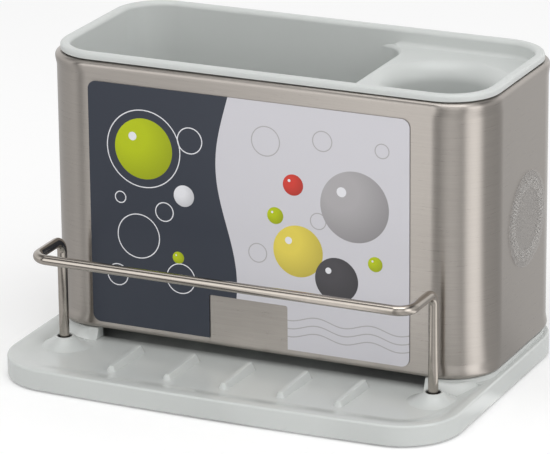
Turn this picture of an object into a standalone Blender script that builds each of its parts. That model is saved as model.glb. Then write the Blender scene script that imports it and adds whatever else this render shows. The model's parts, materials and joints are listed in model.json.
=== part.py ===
"""Sink organizer: a steel-sleeved caddy that stands on a drip tray with a railed sponge shelf.

Metres, +Z up. +X runs along the length, and the sponge shelf with its wire rail faces -Y.
The origin lies under the middle of the whole outline, on the surface that the feet stand on.
"""

from math import cos, pi, radians, sin

import bmesh
import bpy
from mathutils import Vector

# Gaps and overruns shared by every fit and cut
SEAT_GAP = 0.0003
CUT_OVERRUN = 0.002
JOIN_LAP = 0.0008

# Body: the upright rounded rectangle that sleeve, liner and plinth all follow
BODY_LENGTH = 0.197
BODY_DEPTH = 0.0905
BODY_CORNER_RADIUS = 0.0225
BODY_CORNER_STEPS = 12

# Base tray: outer moulding
TRAY_MARGIN = 0.0015
SPONGE_SHELF_DEPTH = 0.0487
SHELF_FRONT_BOW = 0.0026
SHELF_FRONT_STEPS = 12
TRAY_HEIGHT = 0.0087
TRAY_EDGE_RADIUS = 0.0009
TRAY_EDGE_STEPS = 4
TRAY_FOOT_ROUND = 0.0006
TRAY_WALL = 0.0022
TRAY_FLOOR = 0.0024

# Base tray: sponge dish, its ribs and the drain slot under the sleeve
DISH_FRONT_DROP = 0.0013
DISH_REAR_DROP = 0.0031
DISH_BORDER = 0.0008
DISH_SLOPE_WIDTH = 0.0115
DISH_SLOPE_STEPS = 7
RIB_COUNT = 5
RIB_PITCH = 0.0253
RIB_TOP_RISE = 0.0003
RIB_LENGTH = 0.0262
RIB_TOP_WIDTH = 0.0016
RIB_FLANK_WIDTH = 0.0022
RIB_FRONT_GAP = 0.0151
RIB_END_SHARE = 0.9
RIB_FLANK_SHARES = (1.0, 0.42, 0.12, 0.0)
RIB_RISE_SHARES = (0.0, 0.6, 0.9, 1.0)
SLOT_END_INSET = 0.0245

# Base tray: plinth that carries the sleeve, and the upstand that locates it
PLINTH_RISE = 0.00175
PLINTH_INSET = 0.0007
PLINTH_BLEND = 0.0007
PLINTH_CORNER_STEPS = 15
PLINTH_SKIRT_SPREAD = 0.009
LOCATOR_HEIGHT = 0.0042
LOCATOR_WALL = 0.0015
LOCATOR_CLEARANCE = 0.0004

# Base tray: rail bosses
BOSS_END_INSET = 0.0156
BOSS_FRONT_OFFSET = 0.01235
BOSS_TOP_RADIUS = 0.0042
BOSS_BASE_RADIUS = 0.0132
BOSS_EDGE_ROUND = 0.0004
FLANK_STEPS = 6
FLANK_CURVE = 1.5
BOSS_STEPS = 28
SOCKET_RADIUS = 0.0032
SOCKET_WALL = 0.0022
BUSH_WALL = 0.00065
BUSH_GAP = 0.0002

# Feet
FOOT_RADIUS = 0.006
FOOT_STANDOFF = 0.0007
FOOT_THICKNESS = 0.0016
FOOT_EDGE_INSET = 0.017
FOOT_PAD_WALL = 0.0022
FOOT_EDGE_ROUND = 0.0003

# Steel sleeve
SLEEVE_HEIGHT = 0.1156
SLEEVE_SHEET = 0.0006
SLEEVE_ROLL_RADIUS = 0.002
SLEEVE_LIP_WIDTH = 0.0015
SLEEVE_FLARE = 0.00075
SLEEVE_FLARE_HEIGHT = 0.0046
SLEEVE_ROLL_STEPS = 4
SLEEVE_FLARE_STEPS = 3

# Caddy liner
LINER_BOTTOM_DROP = 0.0015
LINER_WALL = 0.0019
LINER_CLEARANCE = 0.0005
LINER_DRAFT = 0.0022
LINER_BOTTOM_ROUND = 0.002
LINER_FLOOR_FILLET = 0.005
RIM_HEIGHT = 0.00305
RIM_OVERHANG = 0.0024
RIM_UNDERCUT_WIDTH = 0.0005
RIM_UNDERCUT_HEIGHT = 0.00035
RIM_OUTER_ROUND = 0.0012
RIM_INNER_ROUND = 0.0018
RIM_ROUND_STEPS = 3
FILLET_STEPS = 3

# Caddy liner: brush shelf and brush well
BRUSH_SHELF_LENGTH = 0.0611
BRUSH_SHELF_DROP = 0.0073
BRUSH_SHELF_FILLET = 0.014
BRUSH_SHELF_EDGE_ROUND = 0.0015
BRUSH_HOLE_RADIUS = 0.022
BRUSH_HOLE_ROUND = 0.008
BRUSH_HOLE_ROUND_STEPS = 6
BRUSH_HOLE_LAP = 0.00015
BRUSH_WELL_TAPER = 0.0015
BRUSH_WELL_FILLET = 0.004
BRUSH_WELL_STEPS = 52
CORE_CEILING = 0.0022
CORE_CORNER_RADIUS = 0.011
DRAIN_HOLE_RADIUS = 0.0028
DRAIN_HOLE_STEPS = 12
DRAIN_PITCH = 0.026
WELL_DRAIN_RING_RADIUS = 0.0105
WELL_DRAIN_COUNT = 3

# Wire rail
ROD_RADIUS = 0.0021
RAIL_HEIGHT = 0.0526
RAIL_REACH = 0.0257
RAIL_POST_BEND = 0.0055
RAIL_FRONT_BEND = 0.0063
RAIL_BEND_STEPS = 9
ROD_STEPS = 20
ROD_END_ROUND = 0.0005

# Front label and side sticker
LABEL_LENGTH = 0.1428
LABEL_HEIGHT = 0.1045
LABEL_TOP_MARGIN = 0.0076
LABEL_SIDE_SHIFT = -0.0039
LABEL_THICKNESS = 0.00025
LABEL_CORNER_RADIUS = 0.0036
LABEL_CORNER_STEPS = 5
LABEL_NOTCH_LENGTH = 0.0353
LABEL_NOTCH_HEIGHT = 0.0188
LABEL_NOTCH_RADIUS = 0.0009
STICKER_RADIUS = 0.02
STICKER_THICKNESS = 0.0002
STICKER_DEPTH_SHIFT = 0.0032
STICKER_HEIGHT = 0.0559
STICKER_STEPS = 40

# Places that follow from the sizes above
TRAY_DEPTH = SPONGE_SHELF_DEPTH + SHELF_FRONT_BOW + BODY_DEPTH + TRAY_MARGIN
BODY_REAR = TRAY_DEPTH / 2 - TRAY_MARGIN
BODY_FRONT = BODY_REAR - BODY_DEPTH
BODY_MIDDLE = (BODY_FRONT + BODY_REAR) / 2
BODY_SIDE = BODY_LENGTH / 2
TRAY_SIDE = BODY_SIDE + TRAY_MARGIN
TRAY_REAR = BODY_REAR + TRAY_MARGIN
SLOT_SIDE = BODY_SIDE - SLOT_END_INSET
TRAY_FRONT = BODY_FRONT - SPONGE_SHELF_DEPTH
TRAY_BOTTOM = FOOT_STANDOFF
TRAY_TOP = TRAY_BOTTOM + TRAY_HEIGHT
DISH_LOW = TRAY_TOP - DISH_REAR_DROP
RESERVOIR_FLOOR = TRAY_BOTTOM + TRAY_FLOOR
PLINTH_TOP = TRAY_TOP + PLINTH_RISE
SLEEVE_LIP_INSET = SLEEVE_ROLL_RADIUS + SLEEVE_LIP_WIDTH
LOCATOR_INSET = SLEEVE_LIP_INSET + LOCATOR_CLEARANCE
RESERVOIR_INSET = LOCATOR_INSET + LOCATOR_WALL
SLEEVE_BOTTOM = PLINTH_TOP + SEAT_GAP
SLEEVE_TOP = SLEEVE_BOTTOM + SLEEVE_HEIGHT
LINER_BOTTOM = PLINTH_TOP - LINER_BOTTOM_DROP
LINER_FLOOR_TOP = LINER_BOTTOM + LINER_WALL
LINER_OUTER_INSET = SLEEVE_LIP_INSET + LINER_CLEARANCE
LINER_INNER_INSET = LINER_OUTER_INSET + LINER_WALL
RIM_UNDERSIDE = SLEEVE_TOP + SEAT_GAP
RIM_TOP = RIM_UNDERSIDE + RIM_HEIGHT
RIM_OUTER_INSET = LINER_OUTER_INSET - RIM_OVERHANG
BRUSH_SHELF_TOP = RIM_TOP - BRUSH_SHELF_DROP
BRUSH_SHELF_EDGE = BODY_SIDE - LINER_INNER_INSET - BRUSH_SHELF_LENGTH
BRUSH_WELL_X = BRUSH_SHELF_EDGE + BRUSH_SHELF_LENGTH / 2
BOSS_X = BODY_SIDE - BOSS_END_INSET
BOSS_Y = BODY_FRONT - BOSS_FRONT_OFFSET
SOCKET_FLOOR = TRAY_BOTTOM + SOCKET_WALL
RAIL_CENTRE_HEIGHT = TRAY_BOTTOM + RAIL_HEIGHT
RAIL_FRONT = BOSS_Y - RAIL_REACH
ROD_END = SOCKET_FLOOR + SEAT_GAP
LABEL_BACK = BODY_FRONT - SEAT_GAP
LABEL_TOP = SLEEVE_TOP - LABEL_TOP_MARGIN


# Scene and material helpers

def clear_scene():
    """Remove every object that the file opened with."""
    for item in list(bpy.data.objects):
        bpy.data.objects.remove(item, do_unlink=True)


def make_material(name, colour, roughness, metallic):
    """A plain Principled material with the piece's own colour."""
    material = bpy.data.materials.new(name)
    material.use_nodes = True
    shader = material.node_tree.nodes["Principled BSDF"]
    shader.inputs["Base Color"].default_value = (*colour, 1.0)
    shader.inputs["Roughness"].default_value = roughness
    shader.inputs["Metallic"].default_value = metallic
    return material


def add_object(name, data, material):
    """Link a new object that shows the given material."""
    piece = bpy.data.objects.new(name, data)
    bpy.context.scene.collection.objects.link(piece)
    if material:
        data.materials.append(material)
    return piece


def mark_cutter(piece):
    """A shape that only cuts or joins another one stays out of the model itself."""
    piece.hide_render = True
    piece.display_type = "WIRE"


def combine(target, operation, *tools):
    """Cut, or join on, each tool in turn with a live Boolean."""
    for tool in tools:
        mark_cutter(tool)
        step = target.modifiers.new(tool.name, "BOOLEAN")
        step.operation = operation
        step.solver = "EXACT"
        step.object = tool


# Outline helpers: each gives a counter-clockwise list of points

def arc(centre_x, centre_y, radius, start, sweep, steps):
    """Points along an arc, both ends included."""
    angles = [start + sweep * step / steps for step in range(steps + 1)]
    return [(centre_x + radius * cos(angle), centre_y + radius * sin(angle)) for angle in angles]


def circle(centre_x, centre_y, radius, steps):
    """A full ring of points, starting at the front like the rounded outlines."""
    return arc(centre_x, centre_y, radius, -pi / 2, 2 * pi, steps)[:-1]


def rounded_outline(left, right, front, rear, radius, steps=BODY_CORNER_STEPS, flare=0.0):
    """A rectangle with round corners; a flare pushes the middle of each corner outwards."""
    points = []
    for side, end, start in ((1, -1, -pi / 2), (1, 1, 0.0), (-1, 1, pi / 2), (-1, -1, pi)):
        centre_x = (right if side > 0 else left) - side * radius
        centre_y = (rear if end > 0 else front) - end * radius
        for step in range(steps + 1):
            share = step / steps
            angle = start + share * pi / 2
            reach = radius + flare * sin(pi * share)
            points.append((centre_x + reach * cos(angle), centre_y + reach * sin(angle)))
    return points


def body_outline(inset, steps=BODY_CORNER_STEPS, flare=0.0):
    """The body's plan outline, drawn in by an inset."""
    side = BODY_SIDE - inset
    radius = BODY_CORNER_RADIUS - inset
    return rounded_outline(-side, side, BODY_FRONT + inset, BODY_REAR - inset, radius, steps, flare)


def tray_outline(inset, rear):
    """The tray's plan outline up to a rear edge: round corners and a front that bows forwards."""
    half = TRAY_SIDE - inset
    radius = BODY_CORNER_RADIUS + TRAY_MARGIN - inset
    points = rounded_outline(-half, half, TRAY_FRONT + inset, rear, radius)
    run_start, run_end = points[-1], points[0]
    for step in range(1, SHELF_FRONT_STEPS):
        share = step / SHELF_FRONT_STEPS
        points.append((run_start[0] + (run_end[0] - run_start[0]) * share, TRAY_FRONT + inset))
    return bow_front(points, half, TRAY_FRONT + inset + radius)


def bow_front(points, half, limit):
    """Push the points in front of a limit forwards, most in the middle of the length."""
    bowed = []
    for x, y in points:
        if y < limit:
            y -= SHELF_FRONT_BOW * (1 - (x / half) ** 2)
        bowed.append((x, y))
    return bowed


def at_height(points, height):
    """Lay plan points at one height."""
    return [(x, y, height) for x, y in points]


# Solid helper

def loft(name, rings, material=None, closed=False, sharp_angle=radians(35)):
    """Skin a stack of equal rings: each new ring is extruded from the one before it.

    An open stack is filled at its first and last ring; a closed one joins its last ring to
    its first, which makes a tube with a wall.
    """
    shape = bmesh.new()
    ring = [shape.verts.new(point) for point in rings[0]]
    first_edges = [shape.edges.new(pair) for pair in zip(ring, ring[1:] + ring[:1])]
    edges = first_edges
    for points in rings[1:]:
        made = bmesh.ops.extrude_edge_only(shape, edges=edges)["geom"]
        fresh = {item for item in made if isinstance(item, bmesh.types.BMVert)}
        ring = [next(edge.other_vert(vert) for edge in vert.link_edges if edge.other_vert(vert) in fresh)
                for vert in ring]
        for vert, point in zip(ring, points):
            vert.co = point
        edges = [shape.edges.get(pair) for pair in zip(ring, ring[1:] + ring[:1])]
    if closed:
        bmesh.ops.bridge_loops(shape, edges=first_edges + edges)
    else:
        bmesh.ops.edgeloop_fill(shape, edges=first_edges)
        bmesh.ops.edgeloop_fill(shape, edges=edges)
    bmesh.ops.recalc_face_normals(shape, faces=shape.faces)
    mesh = bpy.data.meshes.new(name)
    shape.to_mesh(mesh)
    shape.free()
    mesh.shade_smooth()
    mesh.set_sharp_from_angle(angle=sharp_angle)
    return add_object(name, mesh, material)


def join_meshes(name, pieces):
    """Gather separate solids in one cutter."""
    gathered = bmesh.new()
    for piece in pieces:
        gathered.from_mesh(piece.data)
        bpy.data.objects.remove(piece, do_unlink=True)
    mesh = bpy.data.meshes.new(name)
    gathered.to_mesh(mesh)
    gathered.free()
    return add_object(name, mesh, None)


def upright_disc(name, x, y, radius, low, high, steps):
    """A plain round cutter or column between two heights."""
    return loft(name, [at_height(circle(x, y, radius, steps), height) for height in (low, high)])


# Base tray

def tray_shell():
    """Outer moulding as a solid block: round foot edge, upright wall, rounded top edge."""
    rings = [
        at_height(tray_outline(TRAY_FOOT_ROUND, TRAY_REAR - TRAY_FOOT_ROUND), TRAY_BOTTOM),
        at_height(tray_outline(0.0, TRAY_REAR), TRAY_BOTTOM + TRAY_FOOT_ROUND),
    ]
    for step in range(TRAY_EDGE_STEPS + 1):
        angle = pi / 2 * step / TRAY_EDGE_STEPS
        inset = TRAY_EDGE_RADIUS * (1 - cos(angle))
        height = TRAY_TOP - TRAY_EDGE_RADIUS * (1 - sin(angle))
        rings.append(at_height(tray_outline(inset, TRAY_REAR - inset), height))
    plastic = make_material("tray_plastic", (0.62, 0.64, 0.62), 0.22, 0.0)
    return loft("base_tray", rings, plastic)


def dish_floor(y):
    """Height of the dish floor, which falls evenly from the front edge to the drain slot."""
    share = (y - TRAY_FRONT) / SPONGE_SHELF_DEPTH
    return TRAY_TOP - DISH_FRONT_DROP - (DISH_REAR_DROP - DISH_FRONT_DROP) * share


def dish_cutter():
    """Shallow sponge dish with soft sloping sides, open at the rear into the reservoir."""
    border = TRAY_EDGE_RADIUS + DISH_BORDER
    rear = BODY_FRONT + RESERVOIR_INSET + CUT_OVERRUN
    rings = [at_height(tray_outline(border, rear), TRAY_TOP + CUT_OVERRUN)]
    for step in range(DISH_SLOPE_STEPS + 1):
        share = step / DISH_SLOPE_STEPS
        depth_share = (1 - cos(pi * share)) / 2
        outline = tray_outline(border + DISH_SLOPE_WIDTH * share, rear)
        rings.append([(x, y, TRAY_TOP + (dish_floor(y) - TRAY_TOP) * depth_share) for x, y in outline])
    return loft("dish_cutter", rings)


def flank_rows(spread, low, high):
    """A hollow flank that runs out level at its foot: spread and height of each step."""
    shares = [step / FLANK_STEPS for step in range(FLANK_STEPS + 1)]
    return [(spread * (1 - share), low + (high - low) * share ** FLANK_CURVE) for share in shares]


def plinth_block():
    """Raised seat under the sleeve, swept out at the front, with the sleeve's locating upstand."""
    side = BODY_SIDE - PLINTH_INSET
    radius = BODY_CORNER_RADIUS - PLINTH_INSET
    front = BODY_FRONT + PLINTH_INSET
    rear = BODY_REAR - PLINTH_INSET
    rings = []
    for spread, height in flank_rows(PLINTH_SKIRT_SPREAD, DISH_LOW, PLINTH_TOP - PLINTH_BLEND):
        outline = rounded_outline(-side, side, front - spread, rear, radius, PLINTH_CORNER_STEPS)
        if not rings:
            rings.append(at_height(outline, RESERVOIR_FLOOR - JOIN_LAP))
        rings.append(at_height(outline, height))
    for inset, height in (
        (PLINTH_INSET + PLINTH_BLEND, PLINTH_TOP),
        (LOCATOR_INSET, PLINTH_TOP),
        (LOCATOR_INSET, PLINTH_TOP + LOCATOR_HEIGHT),
    ):
        rings.append(at_height(body_outline(inset, PLINTH_CORNER_STEPS), height))
    plinth = loft("plinth_block", rings)
    combine(plinth, "DIFFERENCE", slot_cutter())
    return plinth


def slot_cutter():
    """Opening in the plinth's front through which the dish drains into the reservoir."""
    front = BODY_FRONT - PLINTH_SKIRT_SPREAD - CUT_OVERRUN
    rear = BODY_FRONT + RESERVOIR_INSET + CUT_OVERRUN
    outline = [
        (-SLOT_SIDE, front), (SLOT_SIDE, front), (SLOT_SIDE, rear), (-SLOT_SIDE, rear),
    ]
    low = RESERVOIR_FLOOR - JOIN_LAP - CUT_OVERRUN
    high = PLINTH_TOP + LOCATOR_HEIGHT + CUT_OVERRUN
    return loft("slot_cutter", [at_height(outline, low), at_height(outline, high)])


def boss_cones():
    """Two round bosses with hollow flanks that carry the rail posts."""
    spread = BOSS_BASE_RADIUS - BOSS_TOP_RADIUS
    edge = PLINTH_TOP - BOSS_EDGE_ROUND
    rows = [(BOSS_BASE_RADIUS, DISH_LOW - JOIN_LAP)]
    rows += [(BOSS_TOP_RADIUS + out, height) for out, height in flank_rows(spread, DISH_LOW, edge)]
    for step in range(1, FILLET_STEPS + 1):
        angle = pi / 2 * step / FILLET_STEPS
        rows.append((BOSS_TOP_RADIUS - BOSS_EDGE_ROUND * (1 - cos(angle)), edge + BOSS_EDGE_ROUND * sin(angle)))
    cones = []
    for side in (-1, 1):
        rings = [at_height(circle(side * BOSS_X, BOSS_Y, radius, BOSS_STEPS), height) for radius, height in rows]
        cones.append(loft("boss_cone", rings))
    return join_meshes("boss_cones", cones)


def reservoir_cutter():
    """Well under the body that collects the water."""
    outline = body_outline(RESERVOIR_INSET)
    top = PLINTH_TOP + LOCATOR_HEIGHT + CUT_OVERRUN
    return loft("reservoir_cutter", [at_height(outline, RESERVOIR_FLOOR), at_height(outline, top)])


def shelf_ribs():
    """Level-topped ribs that hold a sponge off the dish floor."""
    low = DISH_LOW - JOIN_LAP
    rise = TRAY_TOP + RIB_TOP_RISE - low
    front = TRAY_FRONT + RIB_FRONT_GAP
    ribs = []
    for index in range(RIB_COUNT):
        x = RIB_PITCH * (index - (RIB_COUNT - 1) / 2)
        rings = []
        for flank_share, rise_share in zip(RIB_FLANK_SHARES, RIB_RISE_SHARES):
            flank = RIB_FLANK_WIDTH * flank_share
            half = RIB_TOP_WIDTH / 2 + flank
            rear = front + RIB_LENGTH + flank
            outline = rounded_outline(x - half, x + half, front - flank, rear, half * RIB_END_SHARE, FILLET_STEPS)
            rings.append(at_height(outline, low + rise * rise_share))
        ribs.append(loft("shelf_rib", rings))
    return join_meshes("shelf_ribs", ribs)


def foot_places():
    """Name and plan place of each foot."""
    x = TRAY_SIDE - FOOT_EDGE_INSET
    rows = (("front", TRAY_FRONT + FOOT_EDGE_INSET), ("rear", TRAY_REAR - FOOT_EDGE_INSET))
    return [(f"foot_{row}_{side}", sign * x, y) for row, y in rows for side, sign in (("left", -1), ("right", 1))]


def underside_cutter():
    """Hollow under the sponge shelf that leaves an even wall."""
    half = TRAY_SIDE - TRAY_WALL
    front = TRAY_FRONT + TRAY_WALL
    radius = BODY_CORNER_RADIUS + TRAY_MARGIN - TRAY_WALL
    rear = BODY_FRONT - TRAY_WALL
    outline = arc(half - radius, front + radius, radius, -pi / 2, pi / 2, BODY_CORNER_STEPS)
    outline += [(half, rear), (-half, rear)]
    outline += arc(radius - half, front + radius, radius, pi, pi / 2, BODY_CORNER_STEPS)
    ceiling = DISH_LOW - TRAY_WALL
    return loft("underside_cutter", [at_height(outline, TRAY_BOTTOM - CUT_OVERRUN), at_height(outline, ceiling)])


def underside_columns():
    """Solid columns under the sockets and the front feet."""
    low = TRAY_BOTTOM + SEAT_GAP
    high = DISH_LOW - JOIN_LAP
    columns = []
    for side in (-1, 1):
        radius = SOCKET_RADIUS + SOCKET_WALL
        columns.append(upright_disc("socket_column", side * BOSS_X, BOSS_Y, radius, low, high, BOSS_STEPS))
    for name, x, y in foot_places():
        if "front" in name:
            radius = FOOT_RADIUS + FOOT_PAD_WALL
            columns.append(upright_disc("foot_column", x, y, radius, low, high, BOSS_STEPS))
    return join_meshes("underside_columns", columns)


def bore_cutters():
    """Blind sockets for the rail and recesses for the feet."""
    bores = []
    for side in (-1, 1):
        top = PLINTH_TOP + CUT_OVERRUN
        bores.append(upright_disc("socket", side * BOSS_X, BOSS_Y, SOCKET_RADIUS, SOCKET_FLOOR, top, BOSS_STEPS))
    for name, x, y in foot_places():
        low = TRAY_BOTTOM - CUT_OVERRUN
        high = FOOT_THICKNESS + SEAT_GAP
        bores.append(upright_disc("recess", x, y, FOOT_RADIUS + SEAT_GAP, low, high, BOSS_STEPS))
    return join_meshes("bore_cutters", bores)


def make_base_tray():
    """Drip tray: shell, dish, plinth, bosses, reservoir, slot, ribs and underside."""
    tray = tray_shell()
    combine(tray, "DIFFERENCE", dish_cutter())
    combine(tray, "UNION", plinth_block(), boss_cones())
    combine(tray, "DIFFERENCE", reservoir_cutter())
    combine(tray, "UNION", shelf_ribs())
    combine(tray, "DIFFERENCE", underside_cutter())
    combine(tray, "UNION", underside_columns())
    combine(tray, "DIFFERENCE", bore_cutters())
    return tray


def make_feet():
    """Four soft pads pressed into the tray's underside."""
    rubber = make_material("foot_rubber", (0.33, 0.34, 0.33), 0.8, 0.0)
    for name, x, y in foot_places():
        rings = [
            at_height(circle(x, y, FOOT_RADIUS - FOOT_EDGE_ROUND, BOSS_STEPS), 0.0),
            at_height(circle(x, y, FOOT_RADIUS, BOSS_STEPS), FOOT_EDGE_ROUND),
            at_height(circle(x, y, FOOT_RADIUS, BOSS_STEPS), FOOT_THICKNESS),
        ]
        loft(name, rings, rubber)


def make_rail_bushes():
    """Thin rubber bushes that grip the rail posts in their sockets."""
    rubber = make_material("bush_rubber", (0.02, 0.02, 0.02), 0.7, 0.0)
    outer = SOCKET_RADIUS - BUSH_GAP
    inner = outer - BUSH_WALL
    low = SOCKET_FLOOR + SEAT_GAP
    high = PLINTH_TOP - SEAT_GAP
    for side, word in ((-1, "left"), (1, "right")):
        rings = [
            at_height(circle(side * BOSS_X, BOSS_Y, radius, BOSS_STEPS), height)
            for radius, height in ((outer, low), (outer, high), (inner, high), (inner, low))
        ]
        loft(f"rail_bush_{word}", rings, rubber, closed=True)


# Steel sleeve

def sleeve_profile(roll, inset, flare_start, flare_full):
    """Half of one sheet surface, from mid height to the lip: inset, distance from the end, flare share."""
    rows = []
    for step in range(SLEEVE_FLARE_STEPS + 1):
        share = step / SLEEVE_FLARE_STEPS
        rows.append((inset, flare_start + (flare_full - flare_start) * share, (1 - cos(pi * share)) / 2))
    for step in range(1, SLEEVE_ROLL_STEPS + 1):
        angle = pi / 2 * step / SLEEVE_ROLL_STEPS
        drop = inset + roll * (1 - sin(angle))
        rows.append((inset + roll * (1 - cos(angle)), drop, 1.0))
    rows.append((SLEEVE_LIP_INSET, inset, 1.0))
    return rows


def make_steel_sleeve():
    """Brushed tube of sheet steel, its ends rolled inwards and its corners drawn out a little."""
    start = SLEEVE_ROLL_RADIUS + SLEEVE_FLARE_HEIGHT
    outside = sleeve_profile(SLEEVE_ROLL_RADIUS, 0.0, start, SLEEVE_ROLL_RADIUS)
    inside = sleeve_profile(SLEEVE_ROLL_RADIUS - SLEEVE_SHEET, SLEEVE_SHEET, start, SLEEVE_ROLL_RADIUS)

    def ring(row, from_top):
        inset, drop, flare_share = row
        height = SLEEVE_TOP - drop if from_top else SLEEVE_BOTTOM + drop
        return at_height(body_outline(inset, flare=SLEEVE_FLARE * flare_share), height)

    rings = [ring(row, False) for row in reversed(outside)]
    rings += [ring(row, True) for row in outside]
    rings += [ring(row, True) for row in reversed(inside)]
    rings += [ring(row, False) for row in inside]
    steel = make_material("sleeve_steel", (0.55, 0.52, 0.49), 0.35, 1.0)
    return loft("steel_sleeve", rings, steel, closed=True)


# Caddy liner

def liner_shell():
    """Open bucket with a rounded rim that hangs on the sleeve's top lip."""
    foot_inset = LINER_OUTER_INSET + LINER_DRAFT
    rings = []
    for step in range(FILLET_STEPS + 1):
        angle = pi / 2 * step / FILLET_STEPS
        inset = foot_inset + LINER_BOTTOM_ROUND * (1 - sin(angle))
        height = LINER_BOTTOM + LINER_BOTTOM_ROUND * (1 - cos(angle))
        rings.append(at_height(body_outline(inset), height))
    rings.append(at_height(body_outline(LINER_OUTER_INSET), RIM_UNDERSIDE))
    rings.append(at_height(body_outline(RIM_OUTER_INSET + RIM_UNDERCUT_WIDTH), RIM_UNDERSIDE))
    rings.append(at_height(body_outline(RIM_OUTER_INSET), RIM_UNDERSIDE + RIM_UNDERCUT_HEIGHT))
    for step in range(RIM_ROUND_STEPS + 1):
        angle = pi / 2 * step / RIM_ROUND_STEPS
        inset = RIM_OUTER_INSET + RIM_OUTER_ROUND * (1 - cos(angle))
        rings.append(at_height(body_outline(inset), RIM_TOP - RIM_OUTER_ROUND * (1 - sin(angle))))
    for step in range(RIM_ROUND_STEPS + 1):
        angle = pi / 2 * step / RIM_ROUND_STEPS
        inset = LINER_INNER_INSET - RIM_INNER_ROUND * (1 - sin(angle))
        rings.append(at_height(body_outline(inset), RIM_TOP - RIM_INNER_ROUND * (1 - cos(angle))))
    for step in range(FILLET_STEPS + 1):
        angle = pi / 2 * step / FILLET_STEPS
        inset = foot_inset + LINER_WALL + LINER_FLOOR_FILLET * (1 - cos(angle))
        height = LINER_FLOOR_TOP + LINER_FLOOR_FILLET * (1 - sin(angle))
        rings.append(at_height(body_outline(inset), height))
    plastic = make_material("liner_plastic", (0.66, 0.68, 0.66), 0.42, 0.0)
    return loft("caddy_liner", rings, plastic)


def shelf_edge_arc(centre_x, centre_y, start, draw_in):
    """Quarter sweep from a side wall to the shelf's free edge, or back, drawn in most at the edge."""
    points = []
    for step in range(BODY_CORNER_STEPS + 1):
        angle = start - pi / 2 * step / BODY_CORNER_STEPS
        radius = BRUSH_SHELF_FILLET + draw_in * cos(angle)
        points.append((centre_x + radius * cos(angle), centre_y + radius * sin(angle)))
    return points


def brush_block():
    """Solid block of the brush shelf and its divider, rooted in the liner's sloping walls."""
    fillet_x = BRUSH_SHELF_EDGE - BRUSH_SHELF_FILLET
    rows = [(LINER_BOTTOM + LINER_WALL / 2, 0.0)]
    for step in range(FILLET_STEPS + 1):
        angle = pi / 2 * step / FILLET_STEPS
        height = BRUSH_SHELF_TOP - BRUSH_SHELF_EDGE_ROUND * (1 - sin(angle))
        rows.append((height, BRUSH_SHELF_EDGE_ROUND * (1 - cos(angle))))
    rings = []
    for height, draw_in in rows:
        draft = LINER_DRAFT * (RIM_UNDERSIDE - height) / (RIM_UNDERSIDE - LINER_BOTTOM)
        root = LINER_OUTER_INSET + LINER_WALL / 2 + draft
        radius = BODY_CORNER_RADIUS - root
        corner_x = BODY_SIDE - root - radius
        front = BODY_FRONT + root
        rear = BODY_REAR - root
        sweep_front = BODY_FRONT + LINER_INNER_INSET + draft + BRUSH_SHELF_FILLET
        sweep_rear = BODY_REAR - LINER_INNER_INSET - draft - BRUSH_SHELF_FILLET
        outline = arc(corner_x, front + radius, radius, -pi / 2, pi / 2, BODY_CORNER_STEPS)
        outline += arc(corner_x, rear - radius, radius, 0.0, pi / 2, BODY_CORNER_STEPS)
        outline.append((fillet_x, rear))
        outline += shelf_edge_arc(fillet_x, sweep_rear, pi / 2, draw_in)
        outline += shelf_edge_arc(fillet_x, sweep_front, 0.0, draw_in)
        outline.append((fillet_x, front))
        rings.append(at_height(outline, height))
    return loft("brush_block", rings)


def brush_well_cutter():
    """Round brush hole with a wide rounded mouth and a slightly tapered well."""
    floor_radius = BRUSH_HOLE_RADIUS - BRUSH_WELL_TAPER
    throat = BRUSH_SHELF_TOP - BRUSH_HOLE_ROUND + BRUSH_HOLE_LAP
    rows = []
    for step in range(FILLET_STEPS + 1):
        angle = pi / 2 * step / FILLET_STEPS
        radius = floor_radius - BRUSH_WELL_FILLET * (1 - sin(angle))
        rows.append((radius, LINER_FLOOR_TOP + BRUSH_WELL_FILLET * (1 - cos(angle))))
    for step in range(BRUSH_HOLE_ROUND_STEPS + 1):
        angle = pi / 2 * step / BRUSH_HOLE_ROUND_STEPS
        radius = BRUSH_HOLE_RADIUS + BRUSH_HOLE_ROUND * (1 - cos(angle))
        rows.append((radius, throat + BRUSH_HOLE_ROUND * sin(angle)))
    rows.append((rows[-1][0], BRUSH_SHELF_TOP + CUT_OVERRUN))
    rings = [at_height(circle(BRUSH_WELL_X, BODY_MIDDLE, radius, BRUSH_WELL_STEPS), height) for radius, height in rows]
    return loft("brush_well_cutter", rings)


def core_cutter():
    """Hollow round the brush well, open at the bottom, so that its walls stay even."""
    inset = LINER_OUTER_INSET + LINER_DRAFT + LINER_WALL
    left = BRUSH_SHELF_EDGE + LINER_WALL
    right = BODY_SIDE - inset
    steps = BRUSH_WELL_STEPS // 4 - 1
    outline = rounded_outline(left, right, BODY_FRONT + inset, BODY_REAR - inset, CORE_CORNER_RADIUS, steps)
    tube = circle(BRUSH_WELL_X, BODY_MIDDLE, BRUSH_HOLE_RADIUS + LINER_WALL, BRUSH_WELL_STEPS)
    low = LINER_BOTTOM - CUT_OVERRUN
    roof = BRUSH_SHELF_TOP - CORE_CEILING
    rows = ((outline, low), (outline, roof), (tube, roof - BRUSH_HOLE_ROUND), (tube, low))
    rings = [at_height(points, height) for points, height in rows]
    return loft("core_cutter", rings, closed=True)


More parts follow.
